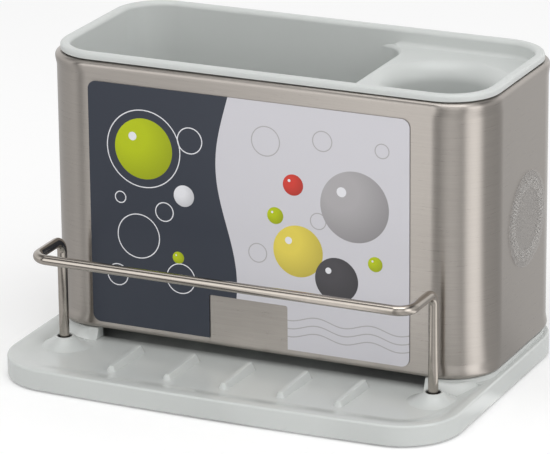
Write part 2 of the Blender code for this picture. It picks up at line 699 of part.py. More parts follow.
def drain_cutters():
    """Drain holes through the floors of the main compartment and the brush well."""
    low = LINER_BOTTOM - CUT_OVERRUN
    high = LINER_FLOOR_TOP + CUT_OVERRUN
    middle_x = (BRUSH_SHELF_EDGE - BODY_SIDE + LINER_INNER_INSET) / 2
    places = [
        (middle_x + DRAIN_PITCH * column, BODY_MIDDLE + DRAIN_PITCH * row / 2)
        for column in (-1.5, -0.5, 0.5, 1.5) for row in (-1, 1)
    ]
    for index in range(WELL_DRAIN_COUNT):
        angle = 2 * pi * index / WELL_DRAIN_COUNT
        x = BRUSH_WELL_X + WELL_DRAIN_RING_RADIUS * cos(angle)
        places.append((x, BODY_MIDDLE + WELL_DRAIN_RING_RADIUS * sin(angle)))
    holes = [upright_disc("drain", x, y, DRAIN_HOLE_RADIUS, low, high, DRAIN_HOLE_STEPS) for x, y in places]
    return join_meshes("drain_cutters", holes)


def make_caddy_liner():
    """Lift-out liner: bucket, brush shelf, brush well and drain holes."""
    liner = liner_shell()
    combine(liner, "UNION", brush_block())
    combine(liner, "DIFFERENCE", brush_well_cutter(), core_cutter(), drain_cutters())
    return liner


# Wire rail

def bend(centre, radius, first_axis, second_axis):
    """Points of a quarter bend that starts along one axis and ends square to it."""
    points = []
    for step in range(RAIL_BEND_STEPS + 1):
        angle = pi / 2 * step / RAIL_BEND_STEPS
        offset = [radius * (cos(angle) * a + sin(angle) * b) for a, b in zip(first_axis, second_axis)]
        points.append(tuple(c + d for c, d in zip(centre, offset)))
    return points


def rail_path():
    """Centre line of the rod: up, forwards, across the front, back and down."""
    post_bend_centre = (-BOSS_X, BOSS_Y - RAIL_POST_BEND, RAIL_CENTRE_HEIGHT - RAIL_POST_BEND)
    front_bend_centre = (-BOSS_X + RAIL_FRONT_BEND, RAIL_FRONT + RAIL_FRONT_BEND, RAIL_CENTRE_HEIGHT)
    left = [(-BOSS_X, BOSS_Y, ROD_END)]
    left += bend(post_bend_centre, RAIL_POST_BEND, (0, 1, 0), (0, 0, 1))
    left += bend(front_bend_centre, RAIL_FRONT_BEND, (-1, 0, 0), (0, -1, 0))
    right = [(-x, y, z) for x, y, z in reversed(left)]
    return left + right


def make_wire_rail():
    """One bent rod of round steel wire that plugs into the two bosses."""
    path = [Vector(point) for point in rail_path()]
    tip = Vector((0.0, 0.0, ROD_END_ROUND))
    path = [path[0], path[0] + tip] + path[1:-1] + [path[-1] + tip, path[-1]]
    across = Vector((0.0, 1.0, 0.0))
    heading = Vector((0.0, 0.0, 1.0))
    rings = []
    for index, place in enumerate(path):
        before = path[max(index - 1, 0)]
        after = path[min(index + 1, len(path) - 1)]
        turn = heading.rotation_difference(after - before)
        heading = (after - before).normalized()
        across = turn @ across
        other = heading.cross(across)
        radius = ROD_RADIUS - ROD_END_ROUND if index in (0, len(path) - 1) else ROD_RADIUS
        section = circle(0.0, 0.0, radius, ROD_STEPS)
        rings.append([place + across * a + other * b for a, b in section])
    steel = make_material("rail_steel", (0.60, 0.58, 0.55), 0.25, 1.0)
    return loft("wire_rail", rings, steel, sharp_angle=radians(60))


# Label and sticker

def make_front_label():
    """Thin printed card on the sleeve's front, notched at the middle of its lower edge."""
    left = LABEL_SIDE_SHIFT - LABEL_LENGTH / 2
    right = left + LABEL_LENGTH
    bottom = LABEL_TOP - LABEL_HEIGHT
    radius = LABEL_CORNER_RADIUS
    notch_left = LABEL_SIDE_SHIFT - LABEL_NOTCH_LENGTH / 2
    notch_right = notch_left + LABEL_NOTCH_LENGTH
    notch_top = bottom + LABEL_NOTCH_HEIGHT
    inner = LABEL_NOTCH_RADIUS
    steps = LABEL_CORNER_STEPS
    outline = [(notch_right, bottom)]
    outline += arc(right - radius, bottom + radius, radius, -pi / 2, pi / 2, steps)
    outline += arc(right - radius, LABEL_TOP - radius, radius, 0.0, pi / 2, steps)
    outline += arc(left + radius, LABEL_TOP - radius, radius, pi / 2, pi / 2, steps)
    outline += arc(left + radius, bottom + radius, radius, pi, pi / 2, steps)
    outline += [(notch_left, bottom)]
    outline += arc(notch_left + inner, notch_top - inner, inner, pi, -pi / 2, steps)
    outline += arc(notch_right - inner, notch_top - inner, inner, pi / 2, -pi / 2, steps)
    rings = [[(x, y, z) for x, z in outline] for y in (LABEL_BACK - LABEL_THICKNESS, LABEL_BACK)]
    card = make_material("label_card", (0.30, 0.31, 0.34), 0.35, 0.0)
    return loft("front_label", rings, card)


def make_side_sticker():
    """Thin clear round film on the sleeve's right side."""
    outline = circle(BODY_MIDDLE + STICKER_DEPTH_SHIFT, SLEEVE_BOTTOM + STICKER_HEIGHT, STICKER_RADIUS, STICKER_STEPS)
    inner_x = BODY_SIDE + SEAT_GAP
    rings = [[(x, y, z) for y, z in outline] for x in (inner_x, inner_x + STICKER_THICKNESS)]
    film = make_material("sticker_film", (0.62, 0.60, 0.57), 0.3, 0.0)
    return loft("side_sticker", rings, film)


clear_scene()
make_base_tray()
make_feet()
make_rail_bushes()
make_steel_sleeve()
make_caddy_liner()
make_wire_rail()
make_front_label()
make_side_sticker()
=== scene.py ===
# %% [markdown]
# # A sink organizer of brushed steel and moulded plastic
# This lesson dresses a CAD model for a photograph. The CAD nodes give the places and the
# ouside sizes, and each piece is modelled again here with smooth forms, rounded edges and
# its own finish. The first cell loads the nodes, and gives a helper that reads the box of each.

# %% Load the frame
import json
from math import atan2, cos, pi, radians, sin

import bmesh
import bpy
from mathutils import Matrix, Vector

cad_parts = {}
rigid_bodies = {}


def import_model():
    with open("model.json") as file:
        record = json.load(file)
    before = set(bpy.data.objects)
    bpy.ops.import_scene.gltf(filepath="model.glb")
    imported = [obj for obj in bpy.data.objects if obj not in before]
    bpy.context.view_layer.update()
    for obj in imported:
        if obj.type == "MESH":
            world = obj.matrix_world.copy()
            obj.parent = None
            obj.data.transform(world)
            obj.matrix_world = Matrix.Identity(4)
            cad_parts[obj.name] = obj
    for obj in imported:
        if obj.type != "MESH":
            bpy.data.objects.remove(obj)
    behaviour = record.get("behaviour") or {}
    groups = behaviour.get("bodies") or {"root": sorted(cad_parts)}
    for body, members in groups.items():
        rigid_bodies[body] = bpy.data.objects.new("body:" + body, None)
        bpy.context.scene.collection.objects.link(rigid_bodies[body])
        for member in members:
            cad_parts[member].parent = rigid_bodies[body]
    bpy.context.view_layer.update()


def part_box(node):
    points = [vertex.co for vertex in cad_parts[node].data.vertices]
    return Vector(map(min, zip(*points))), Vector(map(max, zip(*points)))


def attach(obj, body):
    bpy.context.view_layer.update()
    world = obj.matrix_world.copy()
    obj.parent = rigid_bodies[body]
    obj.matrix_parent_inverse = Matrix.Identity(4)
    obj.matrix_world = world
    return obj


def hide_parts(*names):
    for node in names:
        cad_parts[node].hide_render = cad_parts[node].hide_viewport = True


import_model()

MM = 0.001
NEAR = 0.001 * MM

# %% [markdown]
# The work is done with the operators that the Edit menus call. An operator acts on whatever
# is selected, so these helpers first clear the selection, and then pick faces or edges by
# their place. Two places less than `NEAR` apart count as one. `move_points` is for a change
# that no single operator makes, such as a long shallow bow.

# %% Selecting and moving
def select_only(*pieces):
    """Leave just these objects selected, the last one active."""
    bpy.ops.object.select_all(action="DESELECT")
    for piece in pieces:
        piece.select_set(True)
        bpy.context.view_layer.objects.active = piece


def start_editing(piece, mode="FACE"):
    """Open a piece in edit mode with nothing selected."""
    select_only(piece)
    bpy.ops.object.mode_set(mode="EDIT")
    bpy.ops.mesh.select_mode(type=mode)
    bpy.ops.mesh.select_all(action="DESELECT")


def stop_editing():
    """Leave edit mode."""
    bpy.ops.object.mode_set(mode="OBJECT")


def pick(piece, kind, test):
    """In edit mode, select the faces, edges or verts that pass a test."""
    bpy.ops.mesh.select_all(action="DESELECT")
    mesh = bmesh.from_edit_mesh(piece.data)
    found = [part for part in getattr(mesh, kind) if test(part)]
    for part in found:
        part.select_set(True)
    bmesh.update_edit_mesh(piece.data)
    return len(found)


def pick_level(piece, top=True):
    """In edit mode, select the highest or the lowest level face."""
    bpy.ops.mesh.select_mode(type="FACE")
    mesh = bmesh.from_edit_mesh(piece.data)
    level = (max if top else min)(face.calc_center_median().z for face in mesh.faces)
    return pick(piece, "faces", lambda face: abs(face.calc_center_median().z - level) < NEAR)


def move_points(piece, rule):
    """Give every point of a piece a new place by a rule of its old one."""
    for point in piece.data.vertices:
        point.co = rule(point.co.copy())
    piece.data.update()


# %% [markdown]
# Nearly every moulded form here is a rounded rectangle that changes width as it rises. It
# starts as a cube whose four edges along one axis are bevelled.

# %% Rounded blocks
ALONG_SHARE = 0.9


def settle(name):
    """Name the new object and its mesh, and apply its place and size to the mesh."""
    piece = bpy.context.object
    piece.name = piece.data.name = name
    bpy.ops.object.transform_apply()
    return piece


def rounded_block(name, low, high, radius, steps, axis=2):
    """A box between two corners, with the four edges along one axis rounded."""
    low, high = Vector(low), Vector(high)
    bpy.ops.mesh.primitive_cube_add(size=1, location=(low + high) / 2, scale=high - low)
    piece = settle(name)
    start_editing(piece, "EDGE")
    pick(piece, "edges", lambda edge: abs(edge.verts[0].co[axis] - edge.verts[1].co[axis])
         > ALONG_SHARE * edge.calc_length())
    bpy.ops.mesh.bevel(offset=radius, segments=steps, profile=0.5, affect="EDGES", clamp_overlap=False)
    stop_editing()
    return piece


# %% [markdown]
# Then the block's top or bottom face is stepped: inset by a little, moved up or down by a
# little, and again. Steps that follow a quarter circle give a rounded edge of true radius.
# A round solid is a filled circle that is stepped in the same way.

# %% Stepped faces and discs
def step_face(rows):
    """Inset the selected face and move it up or down, once for each pair of distances."""
    for inward, rise in rows:
        if inward:
            bpy.ops.mesh.inset(thickness=inward, depth=0, use_even_offset=True)
        else:
            bpy.ops.mesh.extrude_region_move()
        if rise:
            bpy.ops.transform.translate(value=(0, 0, rise))


def step_level(piece, rows, top=True):
    """Step the highest or the lowest level face of a piece."""
    start_editing(piece)
    pick_level(piece, top)
    step_face(rows)
    stop_editing()


def quarter(radius, steps, rise, starts_upright=True):
    """Steps of a quarter circle that starts upright and ends level, or the other way."""
    rows = []
    for step in range(steps):
        a, b = pi / 2 * step / steps, pi / 2 * (step + 1) / steps
        short, long = radius * (cos(a) - cos(b)), radius * (sin(b) - sin(a))
        rows.append((short, rise * long) if starts_upright else (long, rise * short))
    return rows


def disc(name, x, y, radius, start, rows, steps):
    """A round solid: a filled circle at a starting height, stepped upwards or downwards."""
    bpy.ops.mesh.primitive_circle_add(vertices=steps, radius=radius, fill_type="NGON", location=(x, y, start))
    piece = settle(name)
    start_editing(piece)
    bpy.ops.mesh.select_all(action="SELECT")
    step_face(rows)
    bpy.ops.mesh.select_all(action="SELECT")
    bpy.ops.mesh.normals_make_consistent()
    stop_editing()
    return piece


def discs(name, places, *shape):
    """Equal discs at several places."""
    return [disc(name, x, y, *shape) for x, y in places]


# %% [markdown]
# A Boolean modifier joins shapes or cuts one with another, and is applied at once. The last
# helper finishes a piece: faces that meet at a shallow angle shade as one smooth surface,
# and the Weighted Normal modifier keeps large flat faces flat beside small round edges.

# %% Boolean and finishing helpers
SMOOTH_ANGLE = radians(32)


def apply_modifier(piece, kind, **settings):
    """Add a modifier with its settings, and apply it."""
    step = piece.modifiers.new(kind.title(), kind)
    for name, value in settings.items():
        setattr(step, name, value)
    select_only(piece)
    bpy.ops.object.modifier_apply(modifier=step.name)


def combine(target, operation, *tools):
    """Union or difference with each tool in turn; the tools are used up."""
    for tool in tools:
        apply_modifier(target, "BOOLEAN", operation=operation, object=tool, solver="EXACT")
        bpy.data.objects.remove(tool)


def finish_piece(piece, body, slot, *nodes):
    """Smooth the piece, let it ride on its body and stand for its CAD nodes."""
    select_only(piece)
    bpy.ops.object.shade_smooth_by_angle(angle=SMOOTH_ANGLE, keep_sharp_edges=False)
    apply_modifier(piece, "WEIGHTED_NORMAL", mode="FACE_AREA_WITH_ANGLE", keep_sharp=True, weight=50)
    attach(piece, body)
    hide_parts(*nodes)
    places = [point.co for point in piece.data.vertices]
    spans = [max(place[i] for place in places) - min(place[i] for place in places) for i in range(3)]
    size = " x ".join(f"{span / MM:.1f}" for span in spans)
    print(f"{piece.name}: {len(piece.data.polygons)} faces, {size} mm")


# %% [markdown]
# ## The camera
# The photograph was taken from the front right and above with a long lens, so that upright
# edges stay nearly parallel. The lens comes out longer than a studio lens usually is, so the
# picture is probably a crop. A roll of half a degree fits it best.

# %% Camera
AZIMUTH, ELEVATION, ROLL = 0.433, 0.326, -0.01
DISTANCE = 1659.055 * MM
AIM = Vector((-12.612, 24.9, 50.011)) * MM
FOCAL_PIXELS, PICTURE_WIDTH, SENSOR = 3966.53, 550, 36.0

away = Vector((sin(AZIMUTH) * cos(ELEVATION), -cos(AZIMUTH) * cos(ELEVATION), sin(ELEVATION)))
right = (-away).cross(Vector((0, 0, 1))).normalized()
up = right.cross(-away)
right, up = right * cos(ROLL) + up * sin(ROLL), up * cos(ROLL) - right * sin(ROLL)
bpy.ops.object.camera_add(location=AIM + away * DISTANCE)
camera = bpy.context.object
camera.name = "camera"
camera.rotation_euler = Matrix((right, up, away)).transposed().to_euler()
camera.data.sensor_fit = "HORIZONTAL"
camera.data.sensor_width = SENSOR
camera.data.lens = SENSOR * FOCAL_PIXELS / PICTURE_WIDTH
bpy.context.scene.camera = camera
print("lens:", round(camera.data.lens, 1), "mm on a 36 mm sensor")

# %% [markdown]
# ## Sizes that the pieces share
# The boxes of the CAD nodes give the outside sizes, so that a dressed piece lies exactly
# where its CAD node lies. Radii and wall thicknesses are written out once.

# %% Shared sizes
sleeve_low, sleeve_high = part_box("steel_sleeve")
tray_low, tray_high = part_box("base_tray")
liner_low, liner_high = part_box("caddy_liner")
rail_low, rail_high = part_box("wire_rail")
bush_low, bush_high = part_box("rail_bush_right")

SEAT_GAP = 0.3 * MM
TRAY_MARGIN, BODY_DEPTH, BODY_RADIUS = 1.5 * MM, 90.5 * MM, 22.5 * MM
BODY_SIDE = tray_high[0] - TRAY_MARGIN
BODY_REAR = tray_high[1] - TRAY_MARGIN
BODY_FRONT = BODY_REAR - BODY_DEPTH
BODY_MIDDLE = (BODY_FRONT + BODY_REAR) / 2
SLEEVE_BOTTOM, SLEEVE_TOP = sleeve_low[2], sleeve_high[2]
PLINTH_TOP = SLEEVE_BOTTOM - SEAT_GAP
BOSS_X = (bush_low[0] + bush_high[0]) / 2
BOSS_Y = (bush_low[1] + bush_high[1]) / 2
BOSS_PLACES = [(-BOSS_X, BOSS_Y), (BOSS_X, BOSS_Y)]


def body_block(name, inset, low, high, steps):
    """A rounded block that follows the body's outline, drawn in by an inset."""
    corner_low = (-BODY_SIDE + inset, BODY_FRONT + inset, low)
    corner_high = (BODY_SIDE - inset, BODY_REAR - inset, high)
    return rounded_block(name, corner_low, corner_high, BODY_RADIUS - inset, steps)


print("body:", round(2 * BODY_SIDE / MM, 1), "x", round(BODY_DEPTH / MM, 1), "mm")

# %% [markdown]
# ## The steel sleeve
# A strip of stainless sheet, 0.6 mm thick, is bent to a rounded rectangle, and its upper and
# lower edges are rolled inwards. The corners flare out a little there. The sleeve starts as
# a solid block: loops are cut where the flare will be, the ends are stepped in along a
# quarter circle, the end faces are deleted, and Solidify gives the sheet.

# %% Model the sleeve
ROLL_RADIUS, LIP_WIDTH, SHEET = 2.0 * MM, 1.5 * MM, 0.6 * MM
FLARE, FLARE_HEIGHT, FLARE_LOOPS = 0.75 * MM, 4.6 * MM, 6

sleeve = body_block("brushed_sleeve", 0, SLEEVE_BOTTOM + ROLL_RADIUS, SLEEVE_TOP - ROLL_RADIUS, 28)
start_editing(sleeve)
for loop in range(1, FLARE_LOOPS + 1):
    from_end = ROLL_RADIUS + FLARE_HEIGHT * loop / FLARE_LOOPS
    for height in (SLEEVE_BOTTOM + from_end, SLEEVE_TOP - from_end):
        bpy.ops.mesh.select_all(action="SELECT")
        bpy.ops.mesh.bisect(plane_co=(0, 0, height), plane_no=(0, 0, 1))
for top in (True, False):
    pick_level(sleeve, top)
    step_face(quarter(ROLL_RADIUS, 7, 1 if top else -1) + [(LIP_WIDTH, 0)])
    bpy.ops.mesh.delete(type="FACE")
stop_editing()


def flared(place):
    """Push a corner point outwards, most at the middle of the corner and near the ends."""
    across = abs(place.x) - (BODY_SIDE - BODY_RADIUS)
    along = abs(place.y - BODY_MIDDLE) - (BODY_DEPTH / 2 - BODY_RADIUS)
    from_end = min(place.z - SLEEVE_BOTTOM, SLEEVE_TOP - place.z) - ROLL_RADIUS
    if across <= 0 or along <= 0 or from_end >= FLARE_HEIGHT:
        return place
    angle = atan2(along, across)
    push = FLARE * (1 + cos(pi * max(from_end, 0) / FLARE_HEIGHT)) / 2 * sin(2 * angle)
    place.x += push * cos(angle) * (1 if place.x > 0 else -1)
    place.y += push * sin(angle) * (1 if place.y > BODY_MIDDLE else -1)
    return place


move_points(sleeve, flared)
apply_modifier(sleeve, "SOLIDIFY", thickness=SHEET, offset=-1, use_even_offset=True)
finish_piece(sleeve, "sleeve_body", "sleeve_steel", "steel_sleeve")

# %% [markdown]
# ## The liner
# An injection-moulded bucket with a rounded rim that hangs on the sleeve. Its walls lean in by
# 2.2 mm towards the floor, as every mould needs. One block as high as the rim is enough to
# start: its bottom face is stepped down to make the outside, and its top face is stepped
# over the rim and down to make the inside.

# %% Model the bucket
RIM_OUT, LINER_OUT, LINER_WALL, DRAFT = 1.6 * MM, 4.0 * MM, 1.9 * MM, 2.2 * MM
UNDERCUT, UNDERCUT_RISE = 0.5 * MM, 0.35 * MM
RIM_OUTER_ROUND, RIM_INNER_ROUND, FLOOR_FILLET, BOTTOM_ROUND = 1.2 * MM, 1.8 * MM, 5 * MM, 2 * MM
RIM_TOP, LINER_BOTTOM = liner_high[2], liner_low[2]
RIM_UNDERSIDE = SLEEVE_TOP + SEAT_GAP
LINER_IN = LINER_OUT + LINER_WALL
LINER_FLOOR = LINER_BOTTOM + LINER_WALL

liner = body_block("hanging_liner", RIM_OUT, RIM_UNDERSIDE + UNDERCUT_RISE, RIM_TOP - RIM_OUTER_ROUND, 24)
outside = [(UNDERCUT, -UNDERCUT_RISE), (LINER_OUT - RIM_OUT - UNDERCUT, 0)]
outside += [(DRAFT, LINER_BOTTOM + BOTTOM_ROUND - RIM_UNDERSIDE)] + quarter(BOTTOM_ROUND, 5, -1)
step_level(liner, outside, top=False)
inside = quarter(RIM_OUTER_ROUND, 6, 1) + [(LINER_IN - RIM_OUT - RIM_OUTER_ROUND - RIM_INNER_ROUND, 0)]
inside += quarter(RIM_INNER_ROUND, 8, -1, starts_upright=False)
inside += [(DRAFT, LINER_FLOOR + FLOOR_FILLET - RIM_TOP + RIM_INNER_ROUND)] + quarter(FLOOR_FILLET, 7, -1)
step_level(liner, inside)
print("bucket faces:", len(liner.data.polygons))

# %% [markdown]
# The brush shelf fills the right end of the liner. It is a block rooted in the middle of
# the walls, and its top is stepped down from them in a hollow fillet that catches a thin
# line of light. The free edge is cut by a block with the shape of the main compartment's
# end. That one's top widens by a quarter circle, so it leaves a rounded edge.

# %% Model the brush shelf
SHELF_LENGTH, SHELF_TOP = 61.1 * MM, RIM_TOP - 7.3 * MM
SHELF_EDGE = BODY_SIDE - LINER_IN - SHELF_LENGTH
SWEEP_RADIUS, EDGE_ROUND, WALL_FILLET = 14 * MM, 1.5 * MM, 1.9 * MM
OVERLAP, CUTTER_LENGTH, SPREAD, LEAN_START = 45 * MM, 60 * MM, 2 * MM, 1 * MM
ROOT = LINER_WALL / 2


def draft_at(height):
    """How far the liner's walls have come in at a height."""
    return DRAFT * (RIM_UNDERSIDE - height) / (RIM_UNDERSIDE - LINER_BOTTOM)


root = LINER_OUT + ROOT + draft_at(SHELF_TOP)
shelf = rounded_block(
    "shelf", (SHELF_EDGE - OVERLAP, BODY_FRONT + root, SHELF_TOP),
    (BODY_SIDE - root, BODY_REAR - root, SHELF_TOP + WALL_FILLET), BODY_RADIUS - root, 24)
block_draft = draft_at(LINER_BOTTOM) - draft_at(SHELF_TOP)
step_level(shelf, [(block_draft, LINER_BOTTOM + ROOT - SHELF_TOP)], top=False)
step_level(shelf, [(ROOT, 0)] + quarter(WALL_FILLET, 8, -1))

wall = LINER_IN + draft_at(SHELF_TOP)
compartment = rounded_block(
    "compartment", (SHELF_EDGE - CUTTER_LENGTH, BODY_FRONT + wall - EDGE_ROUND - SPREAD, SHELF_TOP + SPREAD),
    (SHELF_EDGE + EDGE_ROUND + SPREAD, BODY_REAR - wall + EDGE_ROUND + SPREAD, SHELF_TOP + 2 * SPREAD),
    SWEEP_RADIUS + EDGE_ROUND + SPREAD, 24)
soft_edge = [(SPREAD, -SPREAD)] + quarter(EDGE_ROUND, 6, -1, starts_upright=False)
step_level(compartment, soft_edge + [(0, LINER_BOTTOM - SHELF_TOP)], top=False)


def leaned(place):
    """Bring the cutter's long sides in as the liner's walls come in."""
    if place.z < SHELF_TOP - EDGE_ROUND - LEAN_START:
        place.y += (draft_at(place.z) - draft_at(SHELF_TOP)) * (1 if place.y < BODY_MIDDLE else -1)
    return place


move_points(compartment, leaned)
combine(shelf, "DIFFERENCE", compartment)
combine(liner, "UNION", shelf)
print("bucket and shelf faces:", len(liner.data.polygons))

# %% [markdown]
# The brush well is a round hole with a wide, rounded mouth. A disc as wide as the mouth is
# stepped down: a quarter circle of 8 mm for the mouth, a slight taper for the well and a
# fillet at its floor. Underneath, the block is cored out so that its walls stay even, as a
# moulding must be, and small holes let water out of both floors.

# %% Cut the well, the core and the drain holes
HOLE_RADIUS, MOUTH_ROUND, WELL_TAPER, WELL_FILLET = 22 * MM, 8 * MM, 1.5 * MM, 4 * MM
CORE_CEILING, CORE_CORNER, MOUTH_LIFT = 2.2 * MM, 11 * MM, 0.15 * MM
DRAIN_RADIUS, DRAIN_PITCH, WELL_RING, OVERRUN = 2.8 * MM, 26 * MM, 10.5 * MM, 2 * MM
WELL_X = SHELF_EDGE + SHELF_LENGTH / 2

mouth_level = SHELF_TOP + MOUTH_LIFT
well_rows = [(0, mouth_level - SHELF_TOP - OVERRUN)] + quarter(MOUTH_ROUND, 14, -1, starts_upright=False)
well_rows += [(WELL_TAPER, LINER_FLOOR + WELL_FILLET - mouth_level + MOUTH_ROUND)]
well_rows += quarter(WELL_FILLET, 6, -1)
well = disc("well", WELL_X, BODY_MIDDLE, HOLE_RADIUS + MOUTH_ROUND, SHELF_TOP + OVERRUN, well_rows, 96)

core_inset = LINER_OUT + DRAFT + LINER_WALL
core_roof = SHELF_TOP - CORE_CEILING
core = rounded_block(
    "core", (SHELF_EDGE + LINER_WALL, BODY_FRONT + core_inset, LINER_BOTTOM - OVERRUN),
    (BODY_SIDE - core_inset, BODY_REAR - core_inset, core_roof), CORE_CORNER, 12)
tube_rows = [(0, -OVERRUN)] + quarter(MOUTH_ROUND, 8, -1, starts_upright=False)
tube_rows += [(0, LINER_BOTTOM - 2 * OVERRUN - core_roof + MOUTH_ROUND)]
tube_radius = HOLE_RADIUS + LINER_WALL + MOUTH_ROUND
tube = disc("tube", WELL_X, BODY_MIDDLE, tube_radius, core_roof + OVERRUN, tube_rows, 96)
combine(core, "DIFFERENCE", tube)

floor_middle = (SHELF_EDGE - BODY_SIDE + LINER_IN) / 2
drain_places = [(floor_middle + DRAIN_PITCH * column, BODY_MIDDLE + DRAIN_PITCH * row)
                for column in (-1.5, -0.5, 0.5, 1.5) for row in (-0.5, 0.5)]
drain_angles = [2 * pi * turn / 3 for turn in range(3)]
drain_places += [(WELL_X + WELL_RING * cos(angle), BODY_MIDDLE + WELL_RING * sin(angle))
                 for angle in drain_angles]
drain_rows = [(0, LINER_FLOOR - LINER_BOTTOM + 2 * OVERRUN)]
drains = discs("drain", drain_places, DRAIN_RADIUS, LINER_BOTTOM - OVERRUN, drain_rows, 24)
combine(liner, "DIFFERENCE", well, core, *drains)
finish_piece(liner, "liner_body", "liner_plastic", "caddy_liner")

# %% [markdown]
# ## The drip tray
# One thick glossy moulding. Its front edge bows forwards by 2.6 mm, so the long front edges
# are subdivided before anything else is made from them, and a rule bows them at the end.

# %% Model the tray's shell
SPONGE_SHELF, TRAY_HEIGHT, LONG_EDGE, FRONT_CUTS = 48.7 * MM, 8.7 * MM, 100 * MM, 23
TRAY_SIDE, TRAY_REAR, TRAY_BOTTOM = tray_high[0], tray_high[1], tray_low[2]
TRAY_FRONT, TRAY_TOP = BODY_FRONT - SPONGE_SHELF, TRAY_BOTTOM + TRAY_HEIGHT
FRONT_BOW, TOP_ROUND, FOOT_ROUND, TRAY_WALL = 2.6 * MM, 0.9 * MM, 0.6 * MM, 2.2 * MM
TRAY_RADIUS = BODY_RADIUS + TRAY_MARGIN


def subdivide_front(piece, front):
    """Cut the long front edges into short ones that can follow the bow."""
    start_editing(piece, "EDGE")
    pick(piece, "edges", lambda edge: edge.calc_length() > LONG_EDGE
         and all(abs(end.co.y - front) < NEAR for end in edge.verts))
    bpy.ops.mesh.subdivide(number_cuts=FRONT_CUTS)
    stop_editing()


def bowed(place):
    """Push the tray's front part forwards, most at the middle of its length."""
    if place.y < TRAY_FRONT + TRAY_RADIUS:
        place.y -= FRONT_BOW * (1 - (place.x / TRAY_SIDE) ** 2)
    return place


tray = rounded_block("drip_tray", (-TRAY_SIDE, TRAY_FRONT, TRAY_BOTTOM + FOOT_ROUND),
                     (TRAY_SIDE, TRAY_REAR, TRAY_TOP - TOP_ROUND), TRAY_RADIUS, 24)
subdivide_front(tray, TRAY_FRONT)
step_level(tray, quarter(TOP_ROUND, 6, 1))
step_level(tray, quarter(FOOT_ROUND, 4, -1), top=False)
move_points(tray, bowed)
print("shell faces:", len(tray.data.polygons))

# %% [markdown]
# The sponge dish is a second block that is cut out. Its bottom face is stepped down along
# an S-curve, its rear end is cut off where the plinth will stand, and its floor is tilted so
# that water runs to the rear.

# %% Cut the dish
DISH_MARGIN, DISH_SLOPE, SLOPE_STEPS = 0.8 * MM, 11.5 * MM, 14
DISH_BORDER = TOP_ROUND + DISH_MARGIN
FRONT_DROP, REAR_DROP = 1.3 * MM, 3.1 * MM
DISH_LOW = TRAY_TOP - REAR_DROP
RESERVOIR_INSET, RESERVOIR_WALL = 5.4 * MM, 2.4 * MM
RESERVOIR_FLOOR = TRAY_BOTTOM + RESERVOIR_WALL


def cut_off_rear(piece, rear):
    """Cut away what lies behind a plane, and close the cut."""
    start_editing(piece)
    bpy.ops.mesh.select_all(action="SELECT")
    bpy.ops.mesh.bisect(plane_co=(0, rear, 0), plane_no=(0, 1, 0), clear_outer=True, use_fill=True)
    stop_editing()


dish_rear = BODY_FRONT + RESERVOIR_INSET + OVERRUN
dish_side, dish_front = TRAY_SIDE - DISH_BORDER, TRAY_FRONT + DISH_BORDER
dish = rounded_block(
    "dish", (-dish_side, dish_front, TRAY_TOP),
    (dish_side, dish_rear + 2 * TRAY_RADIUS, TRAY_TOP + OVERRUN), TRAY_RADIUS - DISH_BORDER, 24)
subdivide_front(dish, dish_front)
depths = [(1 - cos(pi * step / SLOPE_STEPS)) / 2 * MM for step in range(SLOPE_STEPS + 1)]
slope = [(DISH_SLOPE / SLOPE_STEPS, upper - lower) for upper, lower in zip(depths, depths[1:])]
step_level(dish, slope, top=False)
cut_off_rear(dish, dish_rear)


def tilted(place):
    """Turn each millimetre of depth into the dish's real depth at that place."""
    if place.z < TRAY_TOP:
        share = (place.y - TRAY_FRONT) / (BODY_FRONT - TRAY_FRONT)
        place.z = TRAY_TOP - (TRAY_TOP - place.z) / MM * (FRONT_DROP + (REAR_DROP - FRONT_DROP) * share)
    return place


move_points(dish, lambda place: bowed(tilted(place)))
combine(tray, "DIFFERENCE", dish)
print("shell and dish faces:", len(tray.data.polygons))

# %% [markdown]
# The sleeve stands on a raised plinth whose front sweeps out to the dish floor in a hollow
# curve, and a thin upstand inside locates it. A slot in the plinth's front lets the dish
# drain into the reservoir under the liner.

# %% Model the plinth
PLINTH_INSET, PLINTH_ROUND, SKIRT, FLANK_STEPS, LAP = 0.7 * MM, 0.7 * MM, 9 * MM, 12, 0.8 * MM
LOCATOR_INSET, LOCATOR_HEIGHT, SLOT_INSET, SLOT_CORNER = 3.9 * MM, 4.2 * MM, 24.5 * MM, 1.2 * MM
FLANK_POWER, SLOT_SIDE = 1.5, BODY_SIDE - SLOT_INSET
plinth_edge = PLINTH_TOP - PLINTH_ROUND


def hollow_rises(low, high):
    """Heights of a hollow flank that runs out level at its foot."""
    levels = [low + (high - low) * (step / FLANK_STEPS) ** FLANK_POWER for step in range(FLANK_STEPS + 1)]
    return [upper - lower for lower, upper in zip(levels, levels[1:])]


def skirted(place):
    """Sweep the plinth's front half forwards towards its foot, less so beside the slot."""
    if place.y < BODY_MIDDLE and place.z < plinth_edge - NEAR:
        share = max(place.z - DISH_LOW, 0) / (plinth_edge - DISH_LOW)
        beside = min(max((abs(place.x) - SLOT_SIDE) / SKIRT, 0), 1)
        place.y -= SKIRT * (1 - share ** (1 / FLANK_POWER)) * beside
    return place


